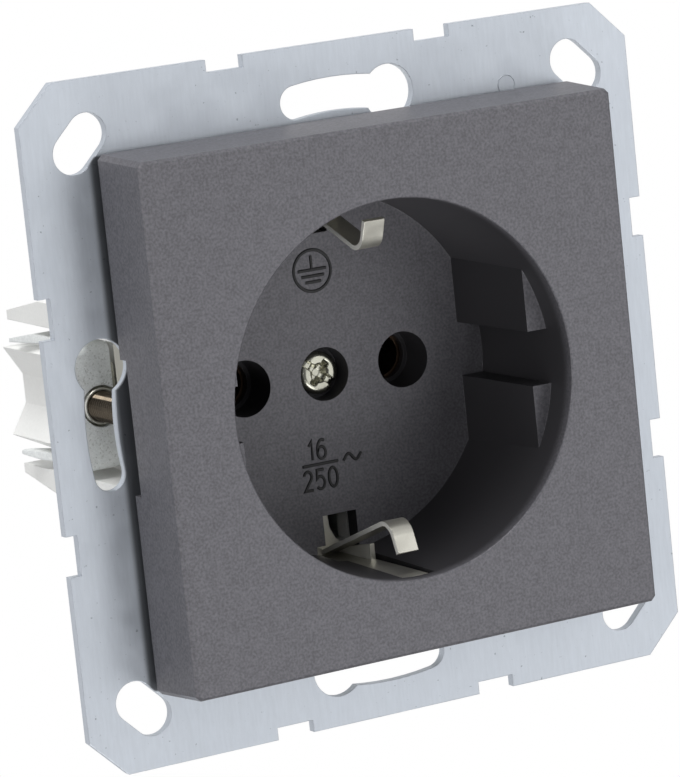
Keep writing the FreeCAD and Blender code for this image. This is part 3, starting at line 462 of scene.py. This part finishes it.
class Stippled(Pattern):
    """Small round bumps over a mottled coating, with grey specks on the claw's tab."""

    BUMP_LEVEL = (0.1, 0.75)
    MOTTLE = Grain(1.2, detail=3.0, roughness=0.6)
    BUMP_SHARE, MOTTLE_SHARE = 0.25, 0.7
    TAB_DEPTH = metres(14.0, 13.7)
    SPECKS = Grain(0.22)
    SPECK_LEVEL = (0.56, 0.70)
    SPECK_SHARE = 0.5
    SPECK_COLOUR = "#a3a59e"

    def look(self) -> Look:
        """Draws a claw.

        Returns:
            Its look.
        """
        add, place = self.nodes.add, self.place
        cells = add(Kind.CELLS, {"Vector": place, "Scale": 1 / (self.finish.grain * MM)})
        height = add(Kind.STEP, (cells["Distance"], *self.BUMP_LEVEL, 1.0, 0.0))[0]
        mottle = add(Kind.NOISE, self.MOTTLE.inputs(place))[0]
        value = add(Kind.PLUS, (add(Kind.TIMES, (height, self.BUMP_SHARE))[0],
                                add(Kind.TIMES, (mottle, self.MOTTLE_SHARE))[0]))[0]
        noise = add(Kind.NOISE, self.SPECKS.inputs(place))[0]
        specks = add(Kind.STEP, (noise, *self.SPECK_LEVEL))[0]
        y = add(Kind.SPLIT, (place,))[1]
        tab = add(Kind.STEP, (y, *self.TAB_DEPTH, 0.0, self.SPECK_SHARE))[0]
        share = add(Kind.TIMES, (tab, specks))[0]
        colour = add(Kind.MIX, {SHARE: share, FIRST: self.shaded(value),
                                SECOND: linear(self.SPECK_COLOUR)})[MIXED]
        return Look(colour, self.finish.roughness, height, self.finish.metallic)


class Bright(Pattern):
    """Plated metal with fine drawing lines and uneven gloss."""

    GLOSS = Grain(2.5)
    GLOSS_REACH = (0.06, 0.08)
    STRETCH = (1.0, 0.15, 1.0)
    LINE_SCALE = 0.5

    def look(self) -> Look:
        """Draws a plated piece.

        Returns:
            Its look.
        """
        add, place = self.nodes.add, self.place
        stretched = add(Kind.MAPPING, {"Vector": place, "Scale": self.STRETCH})[0]
        fine = Grain(self.finish.grain * self.LINE_SCALE, detail=3.0)
        lines = add(Kind.NOISE, fine.inputs(stretched))[0]
        gloss = add(Kind.NOISE, self.GLOSS.inputs(place))[0]
        return Look(self.shaded(lines), self.glossed(gloss), lines, self.finish.metallic)


class Stamped(Bright):
    """Plated strip whose cut edges, where they face left, are matt and carry a pale painted
    highlight.
    """

    LIT_EDGE_FACING = (-0.5, -0.85)
    SHEARED_ROUGHNESS = 0.5
    SHEARED_HIGHLIGHT_COLOUR = "#fbfaf3"

    def look(self) -> Look:
        """Draws the earth contacts.

        Returns:
            Their look.
        """
        add, look = self.nodes.add, super().look()
        # Faces that face left are taken for cut edges: matt and not plated, and given a pale
        # painted highlight
        facing = add(Kind.SPLIT, (add(Kind.GEOMETRY)["Normal"],))[0]
        sheared_and_lit = add(Kind.STEP, (facing, *self.LIT_EDGE_FACING))[0]
        matt = add(Kind.TIMES, (sheared_and_lit, self.SHEARED_ROUGHNESS))[0]
        look.roughness = add(Kind.LARGER, (look.roughness, matt))[0]
        plated = add(Kind.MINUS, (1.0, sheared_and_lit))[0]
        look.metallic = add(Kind.TIMES, (plated, self.finish.metallic))[0]
        look.colour = add(Kind.MIX, {SHARE: sheared_and_lit, FIRST: look.colour,
                                     SECOND: linear(self.SHEARED_HIGHLIGHT_COLOUR)})[MIXED]
        return look


PATTERNS: dict[Surface, type[Pattern]] = {
    Surface.LACQUER: Lacquered, Surface.MOULDED: Pattern, Surface.HOUSING: Housing,
    Surface.ROLLED: Rolled, Surface.STIPPLED: Stippled, Surface.BRIGHT: Bright,
    Surface.STAMPED: Stamped,
}


class FinishBook:
    """Makes each finish's material once."""

    def __init__(self) -> None:
        """Starts with no materials."""
        self.made: dict[str, bpy.types.Material] = {}

    def get(self, finish: Finish) -> bpy.types.Material:
        """Gives the material of a finish, made at its first use.

        Args:
            finish: The finish.

        Returns:
            Its material.
        """
        if finish.name not in self.made:
            self.made[finish.name] = self.build(finish)
        return self.made[finish.name]

    def build(self, finish: Finish) -> bpy.types.Material:
        """Builds a material from its finish.

        Args:
            finish: The finish to build.

        Returns:
            The new material.
        """
        material = bpy.data.materials.new(finish.name)
        material.use_nodes = True
        nodes = NodeTree(material.node_tree)
        look = PATTERNS[finish.surface](nodes, finish).look()
        rounded = nodes.add(Kind.BEVEL, {"Radius": finish.edge * MM})[0]
        bump = nodes.add(Kind.BUMP, {"Height": look.height, "Normal": rounded,
                                     "Distance": finish.relief * MM, "Strength": 1.0})[0]
        shader = nodes.add(Kind.SHADER, {"Base Color": look.colour, "Roughness": look.roughness,
                                         "Metallic": look.metallic, "Normal": bump})[0]
        nodes.add(Kind.MATERIAL, {"Surface": shader})
        return material


def add_mesh(name: str, mesh: Mesh, material: bpy.types.Material, body: str) -> bpy.types.Object:
    """Makes an object that rides on a body from a mesh in metres.

    Args:
        name: Name of the piece.
        mesh: Its mesh, which is freed.
        material: Its material.
        body: CAD body that it rides on.

    Returns:
        The new object.
    """
    bmesh.ops.recalc_face_normals(mesh, faces=mesh.faces)
    data = bpy.data.meshes.new(name)
    mesh.to_mesh(data)
    mesh.free()
    data.materials.append(material)
    piece = bpy.data.objects.new(name, data)
    bpy.context.scene.collection.objects.link(piece)
    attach(piece, body)
    LOG.info("%s: %d faces on %s", name, len(data.polygons), body)
    return piece


def vertex(mesh: Mesh, x: float, y: float, z: float) -> bmesh.types.BMVert:
    """Adds a vertex to a mesh in metres at a place in millimetres."""
    return mesh.verts.new(Vector((x, y, z)) * MM)


def join_rings(mesh: Mesh, rings: Sequence[Sequence[bmesh.types.BMVert]],
               closed: bool = False) -> None:
    """Joins each ring of vertices to the next one.

    Args:
        mesh: Mesh that holds them.
        rings: Rings with the same number of vertices.
        closed: Whether the last ring joins the first; if not, ends stay open.
    """
    following = [*rings[1:], rings[0]] if closed else rings[1:]
    for first, second in zip(rings, following):
        for i in range(len(first)):
            j = (i + 1) % len(first)
            mesh.faces.new((first[i], first[j], second[j], second[i]))


def cap_ends(mesh: Mesh, rings: Sequence[Sequence[bmesh.types.BMVert]]) -> None:
    """Closes the first and the last ring with a face each."""
    mesh.faces.new(rings[0])
    mesh.faces.new(list(reversed(rings[-1])))


def arc(centre: Point, radii: Point, start: float, end: float, steps: int = 20) -> list[Point]:
    """Points along an ellipse's arc.

    Args:
        centre: Its centre.
        radii: Its two radii.
        start: First angle in degrees.
        end: Last angle in degrees.
        steps: Number of runs.

    Returns:
        The points, first to last.
    """
    angles = [math.radians(start + (end - start) * i / steps) for i in range(steps + 1)]
    return [(centre[0] + radii[0] * math.cos(a), centre[1] + radii[1] * math.sin(a))
            for a in angles]


def raised_line(mesh: Mesh, points: Sequence[Point], width: float, foot: float, crown: float,
                closed: bool = False) -> None:
    """Adds a raised line with sloping sides, in a plane that faces the room.

    Args:
        mesh: Mesh that the line is added to, in metres.
        points: Its middle, as (x, z) in millimetres.
        width: Its width at the foot in millimetres.
        foot: Y of its foot in millimetres.
        crown: Y of its crown in millimetres.
        closed: Whether its ends join.
    """
    # Width of the crown as a share of the foot's, and least cosine at a sharp corner
    crown_share, sharpest = 0.55, 0.5
    count = len(points)
    rings = []
    for i, (x, z) in enumerate(points):
        before = points[(i - 1) % count] if closed or i else points[0]
        after = points[(i + 1) % count] if closed or i < count - 1 else points[-1]
        into = Vector((x - before[0], z - before[1]))
        out = Vector((after[0] - x, after[1] - z))
        directions = [v.normalized() for v in (into, out) if v.length > NEAR]
        along = sum(directions, Vector((0.0, 0.0))).normalized()
        stretch = 1 / max(sharpest, along.dot(directions[0]))
        side = Vector((-along.y, along.x)) * width / 2 * stretch
        rings.append([vertex(mesh, x + side.x * reach, y, z + side.y * reach)
                      for reach, y in ((-1.0, foot), (-crown_share, crown),
                                       (crown_share, crown), (1.0, foot))])
    join_rings(mesh, rings, closed)
    if not closed:
        cap_ends(mesh, rings)


def thread(mesh: Mesh, centre: Point, ends: Point, root: float, crest: float,
           pitch: float) -> None:
    """Adds a helical thread along Y that fades in and out over a turn.

    Args:
        mesh: Mesh that the thread is added to, in metres.
        centre: X and Z of its axis in millimetres.
        ends: Its first and last Y in millimetres.
        root: Radius at its root in millimetres.
        crest: Radius at its crest in millimetres.
        pitch: Its pitch in millimetres.
    """
    # Runs in each turn, and half widths as shares of the pitch
    steps, half_foot, half_crest = 24, 0.42, 0.06
    total = int((ends[1] - ends[0]) / pitch * steps)
    rings = []
    for i in range(total + 1):
        angle = 2 * math.pi * i / steps
        y = ends[0] + pitch * i / steps
        tip = root + (crest - root) * min(1.0, i / steps, (total - i) / steps)
        rings.append([vertex(mesh, centre[0] + radius * math.sin(angle), y + shift * pitch,
                             centre[1] + radius * math.cos(angle))
                      for radius, shift in ((root, -half_foot), (tip, -half_crest),
                                            (tip, half_crest), (root, half_foot))])
    join_rings(mesh, rings)
    cap_ends(mesh, rings)


def lathe(mesh: Mesh, centre: Point, profile: Sequence[Point], steps: int = 48) -> None:
    """Adds a closed ring round an axis along Y.

    Args:
        mesh: Mesh that the ring is added to, in metres.
        centre: X and Z of its axis in millimetres.
        profile: Its section as (radius, y) in millimetres.
        steps: Runs round the axis.
    """
    angles = [2 * math.pi * i / steps for i in range(steps)]
    rings = [[vertex(mesh, centre[0] + radius * math.cos(angle), y,
                     centre[1] + radius * math.sin(angle)) for radius, y in profile]
             for angle in angles]
    join_rings(mesh, rings, True)


def figure_shapes() -> dict[str, list[list[Point]]]:
    """Draws the figures.

    Returns:
        The strokes of each figure, in a box of 1 by 1.
    """
    # Runs of the wave, its swing, and degrees from run to run and at its start
    runs, swing, turn, start = 20, 0.42, 23, -50
    wave = [(i / runs, 0.5 + swing * math.sin(math.radians(turn * i + start)))
            for i in range(runs + 1)]
    return {
        "1": [[(0.15, 0.74), (0.55, 1.0), (0.55, 0.0)]],
        "6": [arc((0.5, 0.31), (0.42, 0.31), 0, 360),
              [(0.09, 0.38)] + arc((0.62, 0.42), (0.53, 0.56), 178, 66, steps=12)],
        "2": [arc((0.5, 0.73), (0.4, 0.27), 165, -35, steps=14)
              + [(0.08, 0.0), (0.94, 0.0)]],
        "5": [[(0.88, 1.0), (0.2, 1.0), (0.13, 0.55)]
              + arc((0.47, 0.33), (0.43, 0.33), 128, -142, steps=18)],
        "0": [arc((0.5, 0.5), (0.42, 0.5), 0, 360, steps=28)],
        "~": [wave],
    }


@dataclass
class FloorMarkings:
    """Earth symbol and rating figures on the recess floor, in millimetres.

    Attributes:
        floor: Y of the recess floor.
        height: Height of the strokes.
        stroke: Width of the strokes.
        earth_centre: X and Z of the earth symbol's circle.
        earth_radius: Radius of that circle.
        earth_stem: X, top and foot of its upright stroke, from the circle's centre.
        earth_bars: Left end, right end and height of its bars, from the circle's centre.
        figures: Each figure with its lower left and upper right corner.
        fraction_line: Ends of the line between the figures.
        shapes: Strokes of each figure.
    """

    floor: float = 7.55
    height: float = 0.12
    stroke: float = 0.37
    earth_centre: Point = (-0.2, 11.1)
    earth_radius: float = 2.2
    earth_stem: Place = (-0.05, 1.6, 0.15)
    earth_bars: tuple[Place, ...] = ((-1.72, 1.66, 0.1), (-1.33, 1.33, -0.57),
                                     (-0.93, 0.92, -1.2))
    figures: tuple[tuple[str, Point, Point], ...] = (
        ("1", (-2.95, -8.85), (-2.05, -6.85)), ("6", (-1.9, -8.85), (-0.75, -6.8)),
        ("2", (-3.8, -12.05), (-2.7, -10.0)), ("5", (-2.35, -12.05), (-1.2, -10.0)),
        ("0", (-0.85, -12.05), (0.35, -10.0)), ("~", (1.15, -9.7), (3.35, -8.8)),
    )
    fraction_line: tuple[Point, Point] = ((-3.75, -9.4), (0.5, -9.4))
    shapes: dict[str, list[list[Point]]] = field(default_factory=figure_shapes)

    def line(self, mesh: Mesh, points: Sequence[Point], closed: bool = False) -> None:
        """Adds one stroke."""
        raised_line(mesh, points, self.stroke, self.floor + SINK, self.floor - self.height,
                    closed)

    def figure(self, mesh: Mesh, sign: str, low: Point, high: Point) -> None:
        """Adds one figure.

        Args:
            mesh: Mesh that the figure is added to, in metres.
            sign: The figure.
            low: Its lower left corner as (x, z).
            high: Its upper right corner as (x, z).
        """
        for stroke in self.shapes[sign]:
            points = [(low[0] + (high[0] - low[0]) * u, low[1] + (high[1] - low[1]) * v)
                      for u, v in stroke]
            closed = math.dist(points[0], points[-1]) < NEAR
            self.line(mesh, points[:-1] if closed else points, closed)

    def earth_symbol(self, mesh: Mesh) -> None:
        """Adds the circled earth symbol.

        Args:
            mesh: Mesh that it is added to, in metres.
        """
        x, z = self.earth_centre
        circle = arc((x, z), (self.earth_radius, self.earth_radius), 0, 360, steps=40)
        self.line(mesh, circle[:-1], True)
        stem, top, foot = self.earth_stem
        self.line(mesh, [(x + stem, z + top), (x + stem, z + foot)])
        for left, right, level in self.earth_bars:
            self.line(mesh, [(x + left, z + level), (x + right, z + level)])

    def build(self, book: FinishBook) -> None:
        """Makes the two marking pieces.

        Args:
            book: Gives the materials.
        """
        mesh = bmesh.new()
        self.earth_symbol(mesh)
        add_mesh("earth_symbol", mesh, book.get(MARKING), "socket")
        mesh = bmesh.new()
        for sign, low, high in self.figures:
            self.figure(mesh, sign, low, high)
        self.line(mesh, self.fraction_line)
        add_mesh("rating_figures", mesh, book.get(MARKING), "socket")


@dataclass
class CentreScrew:
    """Centre screw with a rounded head, a slot and a cross recess, in millimetres.

    The pairs give the distances at which a cut starts and at which it is fully deep.

    Attributes:
        head: Y of the head's crown.
        seat: Y of the head's underside.
        end: Y of the shank's end.
        head_radius: Radius of the head.
        shank_radius: Radius of the shank.
        crown_drop: How far the head falls towards its rim.
        rim_drop: How far its rounded rim falls besides.
        rim_start: Share of the radius at which the rim starts.
        slot_turn: Turn of the slot in degrees.
        slot_depth: Depth of the slot.
        slot_half: Half width of the slot.
        wing_depth: Depth of the cross recess's wings.
        wing_half: Half width of the wings.
        wing_reach: How far the wings reach out.
        bowl_depth: Depth of the recess's middle.
        bowl_radius: Radius of the middle.
        rounds: Rings of faces on the head.
        spokes: Faces round the axis.
    """

    head: float = 8.65
    seat: float = 10.15
    end: float = 19.55
    head_radius: float = 2.25
    shank_radius: float = 1.5
    crown_drop: float = 0.12
    rim_drop: float = 0.34
    rim_start: float = 0.72
    slot_turn: float = -40.0
    slot_depth: float = 0.55
    slot_half: Point = (0.42, 0.28)
    wing_depth: float = 0.95
    wing_half: Point = (0.46, 0.22)
    wing_reach: Point = (1.62, 0.75)
    bowl_depth: float = 1.0
    bowl_radius: Point = (1.15, 0.35)
    rounds: int = 30
    spokes: int = 96

    def depth(self, radius: float, angle: float) -> float:
        """Depth of the head's surface below its crown.

        Args:
            radius: Distance from the screw's axis in millimetres.
            angle: Angle round the axis in radians.

        Returns:
            The depth in millimetres.
        """
        share = radius / self.head_radius
        rim = max(0.0, (share - self.rim_start) / (1 - self.rim_start))
        crown = self.crown_drop * share ** 2 + self.rim_drop * rim ** 2
        turn = angle - math.radians(self.slot_turn)
        along, across = abs(radius * math.cos(turn)), abs(radius * math.sin(turn))
        slot = self.step(across, self.slot_half)
        wings = max(self.step(across, self.wing_half) * self.step(along, self.wing_reach),
                    self.step(along, self.wing_half) * self.step(across, self.wing_reach))
        bowl = self.step(radius, self.bowl_radius)
        return crown + max(self.slot_depth * slot, self.wing_depth * wings,
                           self.bowl_depth * bowl)

    @staticmethod
    def step(value: float, ends: Point) -> float:
        """Smooth step from 0 at the first end to 1 at the second."""
        share = min(1.0, max(0.0, (ends[0] - value) / (ends[0] - ends[1])))
        return share * share * (3 - 2 * share)

    def build(self, book: FinishBook) -> None:
        """Makes the screw in place of its CAD solid, which has a flat head and straight cuts.

        Args:
            book: Gives the material.
        """
        mesh = bmesh.new()
        angles = [2 * math.pi * k / self.spokes for k in range(self.spokes)]
        levels = [(self.head_radius * i / self.rounds, None) for i in range(1, self.rounds + 1)]
        levels += [(self.head_radius, self.seat), (self.shank_radius, self.seat),
                   (self.shank_radius, self.end)]
        rings = []
        for radius, level in levels:
            rings.append([vertex(mesh, radius * math.cos(angle),
                                 self.head + self.depth(radius, angle) if level is None else level,
                                 radius * math.sin(angle)) for angle in angles])
        join_rings(mesh, rings)
        for ring, y in ((rings[0], self.head + self.depth(0.0, 0.0)), (rings[-1], self.end)):
            middle = vertex(mesh, 0.0, y, 0.0)
            for k in range(self.spokes):
                mesh.faces.new((middle, ring[k], ring[(k + 1) % self.spokes]))
        piece = add_mesh("centre_screw_turned", mesh, book.get(SCREW), "socket")
        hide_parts("centre_screw")


@dataclass
class SheetMark:
    """Small round press mark on the ring above the cover, in millimetres.

    Attributes:
        centre: X and Z of its middle.
        radius: Its radius.
        width: Width of its line.
        height: Height of its line.
        face: Y of the ring's front.
    """

    centre: Point = (20.5, 28.3)
    radius: float = 1.0
    width: float = 0.16
    height: float = 0.04
    face: float = -1.0

    def build(self, book: FinishBook) -> None:
        """Makes the mark.

        Args:
            book: Gives the material.
        """
        mesh = bmesh.new()
        outline = arc(self.centre, (self.radius, self.radius), 0, 360, steps=32)[:-1]
        raised_line(mesh, outline, self.width, self.face + SINK, self.face - self.height, True)
        add_mesh("press_mark", mesh, book.get(RING), "socket")


@dataclass
class NutCollars:
    """Drawn collar of each claw's nut plate, in millimetres.

    Attributes:
        nut_front: Y of the nut plate's front.
        height: Height of the collar.
        bore: Radius of its bore.
        outer: Outer radius.
        root: How far it reaches into the plate.
        inner_edge: Depth and width of the bevel at its bore.
        outer_edge: Depth and width of the bevel at its outside.
    """

    nut_front: float = 14.2
    height: float = 0.95
    bore: float = 1.64
    outer: float = 1.95
    root: float = 0.05
    inner_edge: Point = (0.05, 0.08)
    outer_edge: Point = (0.12, 0.1)

    def build(self, book: FinishBook) -> None:
        """Makes the collar of each nut plate.

        Args:
            book: Gives the material.
        """
        crown, foot = self.nut_front - self.height, self.nut_front + self.root
        section = [(self.bore, foot), (self.bore, crown + self.inner_edge[0]),
                   (self.bore + self.inner_edge[1], crown),
                   (self.outer - self.outer_edge[1], crown),
                   (self.outer, crown + self.outer_edge[0]), (self.outer, foot)]
        for side, sign in SIDES:
            mesh = bmesh.new()
            lathe(mesh, (sign * CLAW_X, 0.0), section)
            add_mesh(f"claw_nut_collar_{side}", mesh, book.get(STRIP), f"claw_nut_{side}")


@dataclass
class ScrewThreads:
    """Threads of the claw screws, in millimetres.

    Attributes:
        ends: First and last Y of the part that shows in front of the nut plate.
        pitch: Pitch of the threads.
        root: Radius at the root, just inside the plain shank.
        crest: Radius at the crest.
    """

    ends: Point = (5.0, 13.9)
    pitch: float = 0.5
    root: float = 1.47
    crest: float = 1.62

    def build(self, book: FinishBook) -> None:
        """Makes the thread of each claw screw.

        Args:
            book: Gives the material.
        """
        for side, sign in SIDES:
            mesh = bmesh.new()
            thread(mesh, (sign * CLAW_X, 0.0), self.ends, self.root, self.crest, self.pitch)
            add_mesh(f"claw_screw_thread_{side}", mesh, book.get(CLAW_SCREW),
                     f"claw_screw_{side}")


def dress_cad(book: FinishBook) -> None:
    """Gives every CAD node its finish.

    Args:
        book: Gives the materials.
    """
    for name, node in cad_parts.items():
        finish = next(f for key, f in CAD_FINISHES.items() if name.startswith(key))
        node.data.materials.clear()
        node.data.materials.append(book.get(finish))
        LOG.info("%s: %s", name, finish.name)


@dataclass(frozen=True)
class SoftLight:
    """Square soft light that points at the socket.

    Attributes:
        name: Its name.
        place: Its place in metres.
        side: Side of its square in metres.
        power: Its power in watts.
    """

    name: str
    place: Place
    side: float
    power: float

    def add(self) -> None:
        """Adds the light to the scene."""
        data = bpy.data.lights.new(self.name, "AREA")
        data.size = self.side
        data.energy = self.power
        light = bpy.data.objects.new(self.name, data)
        light.location = self.place
        light.rotation_euler = (-Vector(self.place)).to_track_quat("-Z", "Y").to_euler()
        bpy.context.scene.collection.objects.link(light)


@dataclass
class Studio:
    """White studio with soft light, and the camera at the photograph's angle.

    Attributes:
        camera_place: Place of the camera in metres.
        camera_turn: Its turn in degrees.
        lens: Focal length in millimetres.
        sensor: Longer side of the sensor in millimetres.
        shift: Shift of the lens.
        clip: Nearest and farthest distance seen, in metres.
        surround: Colour of the surround as linear values.
        upright: Height of the direction at which the surround is dimmest and brightest.
        upright_glow: Strength of the surround there.
        behind: Depth of the direction at which light from behind starts and is full.
        behind_glow: Strength of that light.
        lights: The lights.
    """

    camera_place: Place = (-0.20978, -0.39975, 0.07330)
    camera_turn: Place = (80.3617, 5.9150, -28.3441)
    lens: float = 203.647
    sensor: float = 36.0
    shift: Point = (0.00579, 0.02919)
    clip: Point = (0.01, 10.0)
    surround: tuple[float, float, float, float] = (0.97, 0.98, 1.0, 1.0)
    upright: Point = (-0.8, 0.8)
    upright_glow: Point = (0.16, 0.25)
    behind: Point = (0.1, 0.8)
    behind_glow: Point = (0.0, 0.6)
    lights: tuple[SoftLight, ...] = (
        SoftLight("key", (0.58, -0.64, 0.03), 0.9, 2.9),
        SoftLight("key_high", (0.56, -0.56, 0.52), 0.5, 0.5),
        SoftLight("rim_right", (0.62, -0.06, 0.71), 0.5, 1.0),
        SoftLight("rim_top", (-0.20, -0.10, 0.90), 0.5, 6.5),
        SoftLight("fill_low", (0.0, -0.67, -0.67), 0.5, 4.5),
        SoftLight("fill_left", (-0.87, -0.12, -0.36), 0.9, 1.5),
        SoftLight("back_left", (-0.80, 0.42, 0.25), 0.6, 0.6),
        SoftLight("fill_left_front", (-0.68, -0.54, 0.08), 0.5, 1.6),
    )

    def add_camera(self) -> None:
        """Adds the camera."""
        data = bpy.data.cameras.new("camera")
        data.sensor_width = self.sensor
        data.lens = self.lens
        data.shift_x, data.shift_y = self.shift
        data.clip_start, data.clip_end = self.clip
        data.dof.use_dof = False
        camera = bpy.data.objects.new("camera", data)
        camera.location = self.camera_place
        camera.rotation_euler = Euler([math.radians(a) for a in self.camera_turn], "XYZ")
        bpy.context.scene.collection.objects.link(camera)
        bpy.context.scene.camera = camera

    def add_world(self) -> None:
        """Adds a white backdrop and, to all rays but the camera's, a softer surround."""
        world = bpy.data.worlds.new("studio")
        world.use_nodes = True
        bpy.context.scene.world = world
        nodes = NodeTree(world.node_tree)
        direction = nodes.add(Kind.COORDINATES)["Generated"]
        split = nodes.add(Kind.SPLIT, (direction,))
        upright = nodes.add(Kind.STEP, (split[2], *self.upright, *self.upright_glow))[0]
        behind = nodes.add(Kind.STEP, (split[1], *self.behind, *self.behind_glow))[0]
        shade = nodes.add(Kind.PLUS, (upright, behind))[0]
        soft = nodes.add(Kind.BACKGROUND, {"Color": self.surround, "Strength": shade})[0]
        white = nodes.add(Kind.BACKGROUND, {"Color": linear("#ffffff"), "Strength": 1.0})[0]
        seen = nodes.add(Kind.LIGHT_PATH)["Is Camera Ray"]
        both = nodes.add(Kind.BLEND, (seen, soft, white))[0]
        nodes.add(Kind.WORLD, {"Surface": both})

    def build(self) -> None:
        """Sets up camera, lights, surround and colour view."""
        self.add_camera()
        self.add_world()
        for light in self.lights:
            light.add()
        bpy.context.scene.view_settings.view_transform = "Standard"


def main() -> None:
    logging.basicConfig(level=logging.INFO, format="%(name)s: %(message)s")
    book = FinishBook()
    dress_cad(book)
    for assembly in (FloorMarkings(), CentreScrew(), SheetMark(), NutCollars(), ScrewThreads()):
        assembly.build(book)
    Studio().build()


if __name__ == "__main__":
    main()
